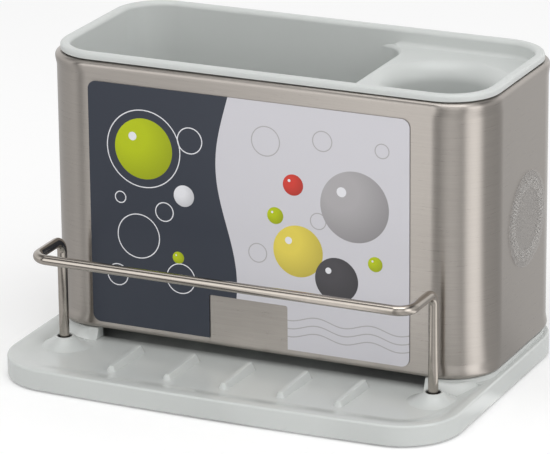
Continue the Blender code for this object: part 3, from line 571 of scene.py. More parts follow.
plinth = body_block("plinth", PLINTH_INSET, RESERVOIR_FLOOR - LAP, DISH_LOW, 24)
flank = [(0, rise) for rise in hollow_rises(DISH_LOW, plinth_edge)] + quarter(PLINTH_ROUND, 5, 1)
upstand = [(LOCATOR_INSET - PLINTH_INSET - PLINTH_ROUND, 0), (0, LOCATOR_HEIGHT)]
step_level(plinth, flank + upstand)
move_points(plinth, skirted)
reservoir_top = PLINTH_TOP + LOCATOR_HEIGHT + OVERRUN
slot = rounded_block(
    "slot", (-SLOT_SIDE, BODY_FRONT - SKIRT - OVERRUN, TRAY_BOTTOM - OVERRUN),
    (SLOT_SIDE, BODY_FRONT + RESERVOIR_INSET + OVERRUN, reservoir_top), SLOT_CORNER, 6)
combine(plinth, "DIFFERENCE", slot)
print("plinth faces:", len(plinth.data.polygons))

# %% [markdown]
# Two round bosses with hollow flanks carry the rail. They are joined to the tray with the
# plinth, and then the reservoir is cut into all of them.

# %% Add the plinth and the bosses, and cut the reservoir
BOSS_TOP, BOSS_BASE, BOSS_EDGE = 4.2 * MM, 13.2 * MM, 0.4 * MM
boss_flank = (BOSS_BASE - BOSS_TOP) / FLANK_STEPS
boss_rows = [(0, LAP)] + [(boss_flank, rise) for rise in hollow_rises(DISH_LOW, PLINTH_TOP - BOSS_EDGE)]
boss_rows += quarter(BOSS_EDGE, 4, 1)
bosses = discs("boss", BOSS_PLACES, BOSS_BASE, DISH_LOW - LAP, boss_rows, 72)
combine(tray, "UNION", plinth, *bosses)
reservoir = body_block("reservoir", RESERVOIR_INSET, RESERVOIR_FLOOR, reservoir_top, 24)
combine(tray, "DIFFERENCE", reservoir)
print("tray faces with plinth and bosses:", len(tray.data.polygons))

# %% [markdown]
# Five ribs hold the sponge off the wet floor. Their flanks are hollow too, and follow a
# list of shares of their width and height.

# %% Add the ribs
RIB_COUNT, RIB_PITCH, RIB_HALF, RIB_FLANK = 5, 25.3 * MM, 0.8 * MM, 2.2 * MM
RIB_LENGTH, RIB_GAP, RIB_PROUD, RIB_END_SHARE = 26.2 * MM, 15.1 * MM, 0.3 * MM, 0.9
RIB_FLANK_SHARES = [(1, 0), (0.7, 0.32), (0.42, 0.6), (0.25, 0.78), (0.12, 0.9), (0.04, 0.97), (0, 1)]
rib_low, rib_rise = DISH_LOW - LAP, REAR_DROP + LAP + RIB_PROUD
rib_front = TRAY_FRONT + RIB_GAP
base = RIB_HALF + RIB_FLANK
rib_rows = [(RIB_FLANK * (a[0] - b[0]), rib_rise * (b[1] - a[1]))
            for a, b in zip(RIB_FLANK_SHARES, RIB_FLANK_SHARES[1:])]
for index in range(RIB_COUNT):
    x = RIB_PITCH * (index - (RIB_COUNT - 1) / 2)
    rib = rounded_block("rib", (x - base, rib_front - RIB_FLANK, rib_low - LAP),
                        (x + base, rib_front + RIB_LENGTH + RIB_FLANK, rib_low), RIB_END_SHARE * base, 8)
    step_level(rib, rib_rows)
    combine(tray, "UNION", rib)
print("tray faces with ribs:", len(tray.data.polygons))

# %% [markdown]
# The underside is hollowed to an even wall, as a moulding must be. Columns stay under the
# rail's sockets and the front feet, and the sockets and the feet's recesses are bored last.

# %% Hollow the underside and bore the sockets
SOCKET_RADIUS, SOCKET_WALL, FOOT_RADIUS, FOOT_HEIGHT = 3.2 * MM, 2.2 * MM, 6 * MM, 1.6 * MM
FOOT_INSET = 17 * MM
SOCKET_FLOOR = TRAY_BOTTOM + SOCKET_WALL
under_side = TRAY_SIDE - TRAY_WALL
under_front = TRAY_FRONT + TRAY_WALL
under_ceiling = DISH_LOW - TRAY_WALL
under_rear = BODY_FRONT - TRAY_WALL
under = rounded_block("under", (-under_side, under_front, TRAY_BOTTOM - OVERRUN),
                      (under_side, under_rear + TRAY_RADIUS, under_ceiling), TRAY_RADIUS - TRAY_WALL, 16)
cut_off_rear(under, under_rear)
combine(tray, "DIFFERENCE", under)

foot_x = TRAY_SIDE - FOOT_INSET
foot_places = {f"{row}_{side}": (sign * foot_x, y)
               for row, y in (("front", TRAY_FRONT + FOOT_INSET), ("rear", TRAY_REAR - FOOT_INSET))
               for side, sign in (("left", -1), ("right", 1))}
column_low = TRAY_BOTTOM + SEAT_GAP
column_rows = [(0, DISH_LOW - LAP - column_low)]
front_feet = [foot_places["front_left"], foot_places["front_right"]]
columns = discs("column", BOSS_PLACES, SOCKET_RADIUS + SOCKET_WALL, column_low, column_rows, 40)
columns += discs("column", front_feet, FOOT_RADIUS + TRAY_WALL, column_low, column_rows, 40)
combine(tray, "UNION", *columns)
socket_rows = [(0, PLINTH_TOP + OVERRUN - SOCKET_FLOOR)]
recess_rows = [(0, FOOT_HEIGHT + SEAT_GAP - TRAY_BOTTOM + OVERRUN)]
bores = discs("socket", BOSS_PLACES, SOCKET_RADIUS, SOCKET_FLOOR, socket_rows, 48)
bores += discs("recess", foot_places.values(), FOOT_RADIUS + SEAT_GAP, TRAY_BOTTOM - OVERRUN, recess_rows, 48)
combine(tray, "DIFFERENCE", *bores)
finish_piece(tray, "tray_body", "tray_plastic", "base_tray")

# %% [markdown]
# ## Feet and bushes
# Four soft pads stand 0.7 mm proud of the tray. One is stepped from a disc, with a rounded
# edge and a shallow dimple below, and copied three times.

# %% Model the feet
def own_copy(piece, name, shift):
    """A copy with a mesh of its own, moved in its mesh."""
    select_only(piece)
    bpy.ops.object.duplicate(linked=False)
    bpy.ops.transform.translate(value=shift)
    return settle(name)


FOOT_EDGE = 0.35 * MM
DIMPLE_ROWS = [(1.6 * MM, 0), (0.25 * MM, 0.08 * MM), (0.35 * MM, 0.22 * MM), (1.2 * MM, 0.05 * MM)]
foot_rows = [(0, FOOT_EDGE - FOOT_HEIGHT)] + quarter(FOOT_EDGE, 5, -1) + DIMPLE_ROWS
first = foot_places["front_left"]
feet = {"front_left": disc("foot_pad_front_left", *first, FOOT_RADIUS, FOOT_HEIGHT, foot_rows, 56)}
for place, (x, y) in foot_places.items():
    if place != "front_left":
        feet[place] = own_copy(feet["front_left"], f"foot_pad_{place}", (x - first[0], y - first[1], 0))
for place, foot in feet.items():
    finish_piece(foot, "tray_body", "foot_rubber", f"foot_{place}")

# %% [markdown]
# A bush is a short rubber tube with a rounded mouth that grips a post of the rail in its
# socket. The right one is a stepped disc with a bore, and the left one is its copy.

# %% Model the bushes
BUSH_OUTER, BUSH_INNER, BUSH_ROUND = 3.0 * MM, 2.35 * MM, 0.2 * MM
bush_rows = [(0, bush_high[2] - bush_low[2] - BUSH_ROUND)] + quarter(BUSH_ROUND, 4, 1)
bush = disc("rubber_bush_right", BOSS_X, BOSS_Y, BUSH_OUTER, bush_low[2], bush_rows, 48)
bore_rows = [(0, bush_high[2] - bush_low[2] + 2 * OVERRUN)]
combine(bush, "DIFFERENCE", disc("bore", BOSS_X, BOSS_Y, BUSH_INNER, bush_low[2] - OVERRUN, bore_rows, 48))
other_bush = own_copy(bush, "rubber_bush_left", (-2 * BOSS_X, 0, 0))
finish_piece(bush, "tray_body", "bush_rubber", "rail_bush_right")
finish_piece(other_bush, "tray_body", "bush_rubber", "rail_bush_left")

# %% [markdown]
# ## The wire rail
# One steel rod of 4.2 mm, bent four times. It is modelled as it is bent: a round face
# travels along the rod, extruded on the straight parts and spun by a quarter turn at each
# bend. The face's last place is the rod's other end, and both ends get a small round.

# %% Model the rail
ROD_RADIUS, END_ROUND, POST_BEND, FRONT_BEND = 2.1 * MM, 0.5 * MM, 5.5 * MM, 6.3 * MM
ROD_SIDES, BEND_STEPS = 40, 16
rail_level = rail_high[2] - ROD_RADIUS
rail_front = rail_low[1] + ROD_RADIUS
rod_end = rail_low[2] + END_ROUND
post_top = rail_level - POST_BEND
arm_rear, arm_front = BOSS_Y - POST_BEND, rail_front + FRONT_BEND
corner_x = BOSS_X - FRONT_BEND


def run_to(*shift):
    """Extrude the travelling face along a straight part."""
    bpy.ops.mesh.extrude_region_move()
    bpy.ops.transform.translate(value=shift)


def bend(centre, axis):
    """Spin the travelling face by a quarter turn; the operator turns left-handed."""
    bpy.ops.mesh.spin(steps=BEND_STEPS, angle=-pi / 2, center=centre, axis=axis)


rail = disc("bent_rail", -BOSS_X, BOSS_Y, ROD_RADIUS, rod_end, [(0, post_top - rod_end)], ROD_SIDES)
start_editing(rail)
pick_level(rail)
bend((-BOSS_X, arm_rear, post_top), (1, 0, 0))
run_to(0, arm_front - arm_rear, 0)
bend((-corner_x, arm_front, rail_level), (0, 0, 1))
run_to(2 * corner_x, 0, 0)
bend((corner_x, arm_front, rail_level), (0, 0, 1))
run_to(0, arm_rear - arm_front, 0)
bend((BOSS_X, arm_rear, post_top), (-1, 0, 0))
run_to(0, 0, rod_end - post_top)
print("rod ends:", pick(rail, "faces", lambda face: len(face.verts) == ROD_SIDES))
step_face(quarter(END_ROUND, 4, -1))
bpy.ops.mesh.select_all(action="SELECT")
bpy.ops.mesh.normals_make_consistent()
stop_editing()
finish_piece(rail, "rail_body", "rail_steel", "wire_rail")

# %% [markdown]
# ## The label and the sticker
# The label is a thin printed card with a notch in its lower edge, and the sticker is a round
# clear film. Both are thin plates with rounded outlines; their print is in their materials.

# %% Model the label and the sticker
label_low, label_high = (Vector(corner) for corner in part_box("front_label"))
sticker_low, sticker_high = (Vector(corner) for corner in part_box("side_sticker"))
LABEL_RADIUS, NOTCH_WIDTH, NOTCH_HEIGHT, NOTCH_RADIUS = 3.6 * MM, 35.3 * MM, 18.8 * MM, 0.9 * MM
label_x = (label_low.x + label_high.x) / 2
label = rounded_block("printed_card", label_low, label_high, LABEL_RADIUS, 12, axis=1)
notch = rounded_block(
    "notch", (label_x - NOTCH_WIDTH / 2, label_low.y - OVERRUN, label_low.z - 3 * OVERRUN),
    (label_x + NOTCH_WIDTH / 2, label_high.y + OVERRUN, label_low.z + NOTCH_HEIGHT), NOTCH_RADIUS, 8, axis=1)
combine(label, "DIFFERENCE", notch)
finish_piece(label, "sleeve_body", "label_card", "front_label")

STICKER_RADIUS = (sticker_high.y - sticker_low.y) / 2
sticker = disc("round_film", 0, 0, STICKER_RADIUS, 0, [(0, sticker_high.x - sticker_low.x)], 96)
select_only(sticker)
sticker.rotation_euler = (0, pi / 2, 0)
sticker.location = (sticker_low.x, (sticker_low.y + sticker_high.y) / 2, (sticker_low.z + sticker_high.z) / 2)
bpy.ops.object.transform_apply()
finish_piece(sticker, "sleeve_body", "sticker_film", "side_sticker")

# %% [markdown]
# ## Materials
# Colours are written as sRGB hex values and turned to the linear values that the shader
# needs by one function. One more function adds a node with its settings, and fills its
# inputs: with a number, a colour or another node's output. A whole node given as an input
# stands for its first output.

# %% Colour and node helpers
def linear(code, share=1.0):
    """Linear RGBA of an sRGB hex colour, or of a share of its light."""
    parts = [int(code[i:i + 2], 16) / 255 for i in (1, 3, 5)]
    curve = [c / 12.92 if c <= 0.04045 else ((c + 0.055) / 1.055) ** 2.4 for c in parts]
    return (*(c * share for c in curve), 1.0)


def fill(target, inputs):
    """Give a node's inputs their values or links."""
    for name, value in inputs.items():
        if isinstance(value, bpy.types.Node):
            value = value.outputs[0]
        if isinstance(value, bpy.types.NodeSocket):
            target.id_data.links.new(value, target.inputs[name])
        else:
            target.inputs[name].default_value = value


def node(tree, kind, inputs=None, **settings):
    """Add a shader node with its settings, and fill its inputs."""
    made = tree.nodes.new("ShaderNode" + kind)
    for name, value in settings.items():
        setattr(made, name, value)
    fill(made, inputs or {})
    return made


def new_material(name, *pieces):
    """A material given to its pieces: its tree, its shader and the place on the object."""
    material = bpy.data.materials.new(name)
    material.use_nodes = True
    tree = material.node_tree
    for piece in pieces:
        piece.data.materials.clear()
        piece.data.materials.append(material)
    return tree, tree.nodes["Principled BSDF"], node(tree, "TexCoord").outputs["Object"]


# %% [markdown]
# ## Moulded plastic
# Tray and liner are moulded from the same grey-green plastic, such as ABS. The tray's mould
# is polished, which leaves a gloss, and the liner's is lightly blasted, which leaves a satin
# sheen. The eye reads both from their roughness, and a mould grain and a very faint cloud in
# the colour keep them from looking like bare paint. The grain is drawn 1.2 mm wide on the
# tray and 0.5 mm on the liner, coarser than a real one, so that it shows. Light goes some
# 1 mm into pale plastic before it comes out again, which lightens ribs and thin edges.

# %% Plastics
TINTS, CLOUD_SIZE, GLOSS_SWING = ("#ced1cf", "#cacdcb"), 28 * MM, 0.04
GRAIN_DEPTH, PLASTIC_IOR, LIGHT_DEPTH, LIGHT_SHARE = 0.02 * MM, 1.53, 1.0 * MM, 0.35


def moulded_plastic(name, piece, roughness, grain_size, relief):
    """Moulded ABS: two close tints in a cloud, and a fine grain in gloss and height."""
    tree, shader, place = new_material(name, piece)
    cloud = node(tree, "TexNoise", {"Vector": place, "Scale": 1 / CLOUD_SIZE, "Detail": 3.0})
    tint = node(tree, "MixRGB", {"Fac": cloud, "Color1": linear(TINTS[0]), "Color2": linear(TINTS[1])})
    grain = node(tree, "TexNoise", {"Vector": place, "Scale": 1 / grain_size, "Detail": 2.0})
    gloss = node(tree, "MapRange", {
        "Value": grain, "To Min": roughness - GLOSS_SWING, "To Max": roughness + GLOSS_SWING})
    bump = node(tree, "Bump", {"Height": grain, "Strength": relief, "Distance": GRAIN_DEPTH})
    fill(shader, {"Base Color": tint, "Roughness": gloss, "Normal": bump, "IOR": PLASTIC_IOR,
                  "Subsurface Weight": LIGHT_SHARE, "Subsurface Radius": (1.0, 1.0, 1.0),
                  "Subsurface Scale": LIGHT_DEPTH})
    print(f"{name}: IOR {PLASTIC_IOR}, roughness {roughness}, grain {grain_size / MM:.1f} mm")


moulded_plastic("polished_mould_abs", tray, 0.22, 1.2 * MM, 0.05)
moulded_plastic("satin_mould_abs", liner, 0.36, 0.5 * MM, 0.15)

# %% [markdown]
# ## Brushed stainless steel
# Belt brushing leaves fine grooves along the sheet. Light spreads across the grooves and
# stays sharp along them, so highlights stretch upwards: that is anisotropy, turned by a
# quarter from the tangent that runs round the body. The grooves are about 0.1 mm wide, too
# fine to show here, so they are drawn 0.4 mm wide and 14 mm long. Each groove differs a
# little in tone, roughness and height. The wire is polished, so it has no grooves: faint
# clouds of 3 mm stand for its handling marks, and sharper mirroring for its polish.

# %% Steel
TONE_SWING, ROUGH_SWING, GROOVE_RELIEF, GROOVE_DEPTH = 0.05, 0.03, 0.15, 0.02 * MM


def steel(name, piece, colour, roughness, spread, mark_size):
    """Stainless steel, with marks of a length, depth and height in tone, gloss and relief."""
    tree, shader, place = new_material(name, piece)
    stretch = node(tree, "Mapping", {"Vector": place, "Scale": [1 / size for size in mark_size]})
    mark = node(tree, "TexNoise", {"Vector": stretch, "Scale": 1.0, "Detail": 4.0, "Roughness": 0.65})
    usual = {"Value": mark, "From Min": 0.3, "From Max": 0.7}
    level = node(tree, "MapRange", usual)
    tone = node(tree, "MixRGB", {
        "Fac": level, "Color1": linear(colour, 1 - TONE_SWING), "Color2": linear(colour, 1 + TONE_SWING)})
    rough = node(tree, "MapRange", {
        **usual, "To Min": roughness - ROUGH_SWING, "To Max": roughness + ROUGH_SWING})
    bump = node(tree, "Bump", {"Height": mark, "Strength": GROOVE_RELIEF, "Distance": GROOVE_DEPTH})
    tangent = node(tree, "Tangent", direction_type="RADIAL", axis="Z")
    fill(shader, {"Base Color": tone, "Roughness": rough, "Normal": bump, "Tangent": tangent,
                  "Metallic": 1.0, "Anisotropic": spread, "Anisotropic Rotation": 0.25})
    print(f"{name}: roughness {roughness}, anisotropy {spread}")


steel("brushed_stainless_steel", sleeve, "#aaa49e", 0.30, 0.97, (14 * MM, 14 * MM, 0.4 * MM))
steel("polished_stainless_wire", rail, "#aaa39b", 0.13, 0.0, (3 * MM, 3 * MM, 3 * MM))

# %% [markdown]
# ## Rubber
# Feet and bushes are moulded rubber: dark, with hardly any sheen. The fine grain in its tone
# is drawn 0.4 mm wide, coarser than a real one.

# %% Rubber
RUBBER_GRAIN, RUBBER_SHADE, RUBBER_ROUGHNESS = 0.4 * MM, 0.8, 0.7


def rubber(name, pieces, colour):
    """Moulded rubber: one tone and a darker share of it in a fine grain."""
    tree, shader, place = new_material(name, *pieces)
    grain = node(tree, "TexNoise", {"Vector": place, "Scale": 1 / RUBBER_GRAIN, "Detail": 2.0})
    tint = node(tree, "MixRGB", {
        "Fac": grain, "Color1": linear(colour), "Color2": linear(colour, RUBBER_SHADE)})
    fill(shader, {"Base Color": tint, "Roughness": RUBBER_ROUGHNESS})
    print(f"{name}: roughness {RUBBER_ROUGHNESS}")


rubber("moulded_foot_rubber", feet.values(), "#5d605e")
rubber("moulded_bush_rubber", (bush, other_bush), "#1d1c1b")

# %% [markdown]
# ## The printed label
# A coated card with an offset print. The print is built from masks in the label's own
# millimetres: a slate field with a gently waved edge, thin waves, and round soap bubbles.
# A bubble is the distance to its middle, compared with its radius: "less than" fills a disc
# and "compare" draws a thin ring. The print has no lettering.

# %% Layout of the print, in millimetres from the label's lower left corner
SLATE, PALE, PALE_CLOUD, LIME, WHITE = "#343944", "#d3d1d4", "#cfced6", "#b6c400", "#e6e6ea"
YELLOW, CHARCOAL, RED, SILVER = "#e5d257", "#4a484c", "#d23c30", "#aeabad"
DISCS = [(25, 78, 13, LIME), (119, 65, 15, SILVER), (94, 43, 11, YELLOW), (111, 33, 9.5, CHARCOAL),
         (92, 71, 4.5, RED), (84, 57, 3.6, LIME), (43, 60, 4.6, WHITE), (40, 33, 2.6, LIME),
         (128, 42, 3.2, LIME)]
RINGS = [(25, 78, 16.5, WHITE), (46, 84, 5.5, WHITE), (22, 40, 9.5, WHITE), (34, 52, 4, WHITE),
         (41, 24, 6.4, WHITE), (12, 22, 4.6, WHITE), (14, 56, 2.4, WHITE), (105, 91, 4.2, SILVER),
         (80, 88, 6.2, SILVER), (131, 90, 3, SILVER), (76, 40, 4, SILVER), (103, 57, 3.4, SILVER)]
WAVE_HEIGHTS = (7, 10.5, 14)
print("label print:", len(DISCS), "discs,", len(RINGS), "rings and", len(WAVE_HEIGHTS), "waves")

# %% [markdown]
# Every mask starts from the place on the label, measured from its lower left corner. A wave
# is a sine of one coordinate that shifts the other.

# %% Fields and waves of the print
FIELD_WIDTH, FIELD_WAVE, FIELD_WAVE_LENGTH = 62 * MM, 4.5 * MM, 100 * MM
LINE_HALF, WAVE_LENGTH, WAVE_RISE, PAPER_GRAIN = 0.22 * MM, 24 * MM, 1.3 * MM, 0.3 * MM

tree, shader, place = new_material("offset_printed_coated_card", label)
moved = node(tree, "VectorMath", {0: place, 1: label_low}, operation="SUBTRACT")
flat = node(tree, "VectorMath", {0: moved, 1: (1, 0, 1)}, operation="MULTIPLY")
sides = node(tree, "SeparateXYZ", {"Vector": flat})
across, upwards = sides.outputs["X"], sides.outputs["Z"]


def printed(below, mask, ink):
    """Print one ink over what is there, where the mask is 1."""
    return node(tree, "MixRGB", {"Fac": mask, "Color1": below, "Color2": ink})


def waved(along, length, rise):
    """A sine wave of a coordinate, as a height."""
    phase = node(tree, "Math", {0: along, 1: 2 * pi / length}, operation="MULTIPLY")
    wave = node(tree, "Math", {0: phase}, operation="SINE")
    return node(tree, "Math", {0: wave, 1: rise}, operation="MULTIPLY")


edge_wave = waved(upwards, FIELD_WAVE_LENGTH, FIELD_WAVE)
straight = node(tree, "Math", {0: across, 1: edge_wave}, operation="SUBTRACT")
left_field = node(tree, "Math", {0: straight, 1: FIELD_WIDTH}, operation="LESS_THAN")
line_wave = waved(across, WAVE_LENGTH, WAVE_RISE)
level = node(tree, "Math", {0: upwards, 1: line_wave}, operation="SUBTRACT")
paper = node(tree, "TexNoise", {"Vector": place, "Scale": 1 / PAPER_GRAIN, "Detail": 2.0})
ink = printed(linear(PALE), paper, linear(PALE_CLOUD))
for height in WAVE_HEIGHTS:
    line = node(tree, "Math", {0: level, 1: height * MM, 2: LINE_HALF}, operation="COMPARE")
    ink = printed(ink, line, linear(SILVER))
ink = printed(ink, left_field, linear(SLATE))

# %% [markdown]
# Each filled bubble gets a shade that deepens away from its glint. The noise that tints the
# paper also gives the card its slightly uneven sheen. It is 0.3 mm wide, coarser than the
# fibres it stands for.

# %% Bubbles of the print, and the card's surface
GLINT_SHARE, GLINT_SHIFT, SHADE_START, SHADE_END = 0.14, 0.38, 0.5, 1.6
SHADE_SHARE, SHADE_LIGHT, CARD_IOR = 0.55, 0.35, 1.45


def from_point(x, z):
    """The distance from a point of the print, given in millimetres."""
    point = (x * MM, 0, z * MM)
    return node(tree, "VectorMath", {0: flat, 1: point}, operation="DISTANCE").outputs["Value"]


def within(away, radius):
    """1 where a distance is less than a radius in millimetres."""
    return node(tree, "Math", {0: away, 1: radius * MM}, operation="LESS_THAN")


for x, z, radius, colour in RINGS:
    ring = node(tree, "Math", {0: from_point(x, z), 1: radius * MM, 2: LINE_HALF}, operation="COMPARE")
    ink = printed(ink, ring, linear(colour))
for x, z, radius, colour in DISCS:
    glint_away = from_point(x - radius * GLINT_SHIFT, z + radius * GLINT_SHIFT)
    shade = node(tree, "MapRange", {
        "Value": glint_away, "From Min": SHADE_START * radius * MM, "From Max": SHADE_END * radius * MM,
        "To Max": SHADE_SHARE})
    ball = printed(linear(colour), shade, linear(colour, SHADE_LIGHT))
    ink = printed(ink, within(from_point(x, z), radius), ball)
    ink = printed(ink, within(glint_away, radius * GLINT_SHARE), linear(WHITE))
fibre = node(tree, "Bump", {"Height": paper, "Strength": 0.08, "Distance": GRAIN_DEPTH})
sheen = node(tree, "MapRange", {"Value": paper, "To Min": 0.3, "To Max": 0.4})
fill(shader, {"Base Color": ink, "Normal": fibre, "Roughness": sheen, "IOR": CARD_IOR})
print("card: IOR", CARD_IOR, "and roughness 0.3 to 0.4,", len(tree.nodes), "nodes")

# %% [markdown]
# ## The clear sticker
# A film of clear polypropylene that hardly shows: most light passes straight through, and
# only its surface mirrors a little, more at a grazing angle. A Mix Shader with a Fresnel
# node does both, on the outer side of the film only. Round its edge runs a border of small
# pale ticks, made in polar coordinates: the angle, times a count, gives the ticks, and the
# radius gives the band. A noise of 1 mm breaks the ticks up, so that they look like fine
# print from a distance.

# %% Clear film
TICKS, BAND_LOW, BAND_HIGH, SPECKLE_SIZE = 64, 13.0 * MM, 17.5 * MM, 1.0 * MM
TICK_LEVEL, BREAK_LEVEL, INK_SHARE, FILM_IOR = 0.2, 0.48, 0.26, 1.49

tree, shader, place = new_material("clear_polypropylene_film", sticker)
moved = node(tree, "VectorMath", {0: place, 1: (sticker_low + sticker_high) / 2}, operation="SUBTRACT")
flat = node(tree, "VectorMath", {0: moved, 1: (0, 1, 1)}, operation="MULTIPLY")
radius = node(tree, "VectorMath", {0: flat}, operation="LENGTH").outputs["Value"]
sides = node(tree, "SeparateXYZ", {"Vector": flat})
angle = node(tree, "Math", {0: sides.outputs["Y"], 1: sides.outputs["Z"]}, operation="ARCTAN2")
turns = node(tree, "Math", {0: angle, 1: TICKS}, operation="MULTIPLY")
wave = node(tree, "Math", {0: turns}, operation="SINE")
tick = node(tree, "Math", {0: wave, 1: TICK_LEVEL}, operation="GREATER_THAN")
band_middle, band_half = (BAND_LOW + BAND_HIGH) / 2, (BAND_HIGH - BAND_LOW) / 2
band = node(tree, "Math", {0: radius, 1: band_middle, 2: band_half}, operation="COMPARE")
speckle = node(tree, "TexNoise", {"Vector": place, "Scale": 1 / SPECKLE_SIZE, "Detail": 1.0})
broken = node(tree, "Math", {0: speckle, 1: BREAK_LEVEL}, operation="GREATER_THAN")
faint = tick
for factor in (band, broken, INK_SHARE):
    faint = node(tree, "Math", {0: faint, 1: factor}, operation="MULTIPLY")
fill(shader, {"Base Color": linear("#d8d6d2"), "Roughness": 0.4})
clear = node(tree, "BsdfTransparent", {"Color": (1, 1, 1, 1)})
mirror = node(tree, "BsdfGlossy", {"Roughness": 0.3})
grazing = node(tree, "Fresnel", {"IOR": FILM_IOR})
back = node(tree, "NewGeometry").outputs["Backfacing"]
front = node(tree, "Math", {0: 1.0, 1: back}, operation="SUBTRACT")
share = node(tree, "Math", {0: grazing, 1: front}, operation="MULTIPLY")
film = node(tree, "MixShader", {0: share, 1: clear, 2: mirror})
print_over = node(tree, "MixShader", {0: faint, 1: film, 2: shader})
fill(tree.nodes["Material Output"], {"Surface": print_over})
print("film: IOR", FILM_IOR, "with", TICKS, "ticks")

# %% [markdown]
# ## The studio
# The object stands on white paper in a white room, under three soft lamps. Steel shows its
# surroundings as bands of light and dark: in the photograph a bright band at the right
# corner, a dark one beside it, and a front that brightens from left to right. So what a
# mirror ray meets has a level that goes round the object. In the room the level goes by the
# ray's direction. On the paper it goes by the place, seen from the middle of the front right
# corner's rounding, so that the corner's bands stay upright. The ceiling is dark, with one
# skylight straight above. Only mirror rays see these levels, so they cast no light.

# %% The surroundings that steel mirrors
LEVELS = [(-180, 0.75), (-128, 0.72), (-97, 0.7), (-72, 0.78), (-58, 0.9), (-46, 0.25), (-41, 0.15),
          (-38, 0.85), (-35, 1.25), (-31, 1.4), (-25, 1.5), (-20, 1.46), (-13, 0.62), (-4, 0.48),
          (6, 0.75), (16, 0.94), (25, 0.95), (35, 0.85), (45, 0.7), (50, 1.0), (54, 1.4), (64, 1.8),
          (73, 1.86), (81, 1.7), (86, 1.2), (94, 0.66), (132, 0.56), (143, 0.6), (151, 0.78),
          (160, 0.84), (180, 0.75)]
FLOOR_SHARE, WALL_SHARE, DARK_CEILING, ZENITH = 0.88, 1.3, 0.3, 1.5
CEILING_START, CEILING_END, SKYLIGHT_START, SKYLIGHT_END = 0.5, 0.75, 0.86, 0.9


def surroundings(tree, way, strength):
    """The level in the direction of a vector, by its angle round the object from -Y to +X."""
    split = node(tree, "SeparateXYZ", {"Vector": way})
    front = node(tree, "Math", {0: split.outputs["Y"], 1: -1.0}, operation="MULTIPLY")
    turn = node(tree, "Math", {0: split.outputs["X"], 1: front}, operation="ARCTAN2")
    share = node(tree, "MapRange", {"Value": turn, "From Min": -pi, "From Max": pi})
    ramp = node(tree, "ValToRGB", {"Fac": share})
    stops = ramp.color_ramp.elements
    for index, (azimuth, level) in enumerate(LEVELS):
        spot = (azimuth + 180) / 360
        stop = stops.new(spot) if index else stops[0]
        stop.position = spot
        stop.color = (level, level, level, 1)
    stops.remove(stops[len(LEVELS)])
    height = split.outputs["Z"]
    ceiling = node(tree, "MapRange", {
        "Value": height, "From Min": CEILING_START, "From Max": CEILING_END,
        "To Min": strength, "To Max": DARK_CEILING})
    skylight = node(tree, "MapRange", {
        "Value": height, "From Min": SKYLIGHT_START, "From Max": SKYLIGHT_END,
        "To Min": 0.0, "To Max": ZENITH})
    above = node(tree, "Math", {0: ceiling, 1: skylight}, operation="ADD")
    return node(tree, "VectorMath", {0: ramp, "Scale": above}, operation="SCALE")


print("mirrored levels:", len(LEVELS))

# %% [markdown]
# The paper is a plain diffuse white that keeps the contact shadow. A camera ray sees it a
# little lifted, so that it blends into the white background with no more light on the
# object.

# %% Floor
FLOOR_SIZE, PAPER_LIFT, PAPER_WHITE = 8, 0.2, "#ebebeb"
bpy.ops.mesh.primitive_plane_add(size=FLOOR_SIZE)
floor = bpy.context.object
floor.name = "floor"
tree, shader, place = new_material("white_paper_floor", floor)
rays = node(tree, "LightPath")
lift = node(tree, "Math", {0: rays.outputs["Is Camera Ray"], 1: PAPER_LIFT}, operation="MULTIPLY")
fill(shader, {"Base Color": linear(PAPER_WHITE), "Roughness": 1.0, "Specular IOR Level": 0.0,
              "Emission Color": (1, 1, 1, 1), "Emission Strength": lift})
corner = (BODY_SIDE - BODY_RADIUS, BODY_FRONT + BODY_RADIUS, 0)
from_corner = node(tree, "VectorMath", {0: place, 1: corner}, operation="SUBTRACT")
mirrored = node(tree, "Emission", {"Color": surroundings(tree, from_corner, FLOOR_SHARE)})
mixed = node(tree, "MixShader", {0: rays.outputs["Is Glossy Ray"], 1: shader, 2: mirrored})
fill(tree.nodes["Material Output"], {"Surface": mixed})
print("floor:", FLOOR_SIZE, "m, lifted by", PAPER_LIFT)

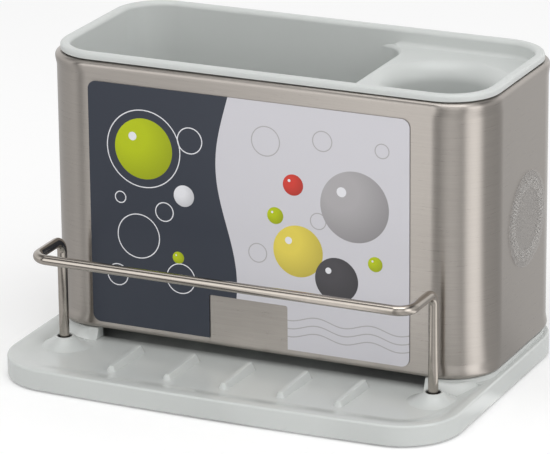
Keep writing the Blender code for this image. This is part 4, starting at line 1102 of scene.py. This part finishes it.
# %% [markdown]
# The world is the room. A camera ray sees plain white, also through the clear film. A
# mirror ray sees the levels, and everything else is lit by an even soft grey.

# %% World
ROOM_LIGHT = 0.72
world = bpy.data.worlds.new("studio")
bpy.context.scene.world = world
world.use_nodes = True
tree = world.node_tree
way = node(tree, "TexCoord").outputs["Generated"]
rays = node(tree, "LightPath")
glossy = node(tree, "MixRGB", {
    "Fac": rays.outputs["Is Glossy Ray"], "Color1": (ROOM_LIGHT, ROOM_LIGHT, ROOM_LIGHT, 1),
    "Color2": surroundings(tree, way, WALL_SHARE)})
whole = node(tree, "MixRGB", {
    "Fac": rays.outputs["Is Camera Ray"], "Color1": glossy, "Color2": (1, 1, 1, 1)})
fill(tree.nodes["Background"], {"Color": whole})
print("world: even light of", ROOM_LIGHT)

# %% [markdown]
# Three soft lamps face the object. The large one overhead also shows in the steel. The one
# at the right brightens the right side and the paper, and the one in front opens the
# shadows under the rail. The steel doesn't mirror these two.

# %% Lamps
AIM_HEIGHT = 60 * MM


def softbox(name, azimuth, elevation, distance, size, power, mirrored):
    """A rectangular lamp that faces the middle of the object; azimuth runs from -Y to +X."""
    target = Vector((0, BODY_MIDDLE, AIM_HEIGHT))
    turned, raised = radians(azimuth), radians(elevation)
    way = Vector((sin(turned) * cos(raised), -cos(turned) * cos(raised), sin(raised)))
    bpy.ops.object.light_add(type="AREA", location=target + way * distance)
    lamp = bpy.context.object
    lamp.name = lamp.data.name = name
    lamp.rotation_euler = way.to_track_quat("Z", "Y").to_euler()
    lamp.data.shape = "RECTANGLE"
    lamp.data.size, lamp.data.size_y = size
    lamp.data.energy = power
    lamp.visible_glossy = mirrored
    print(f"{name}: {power} W, radiance {power / (pi * size[0] * size[1]):.2f}")


softbox("overhead_softbox", 15, 72, 1.3, (1.0, 1.0), 4.6, True)
softbox("right_softbox", 80, 18, 1.4, (0.85, 0.6), 3.8, False)
softbox("front_softbox", 5, 22, 1.4, (1.2, 0.5), 1.6, False)
bpy.context.scene.view_settings.view_transform = "Standard"
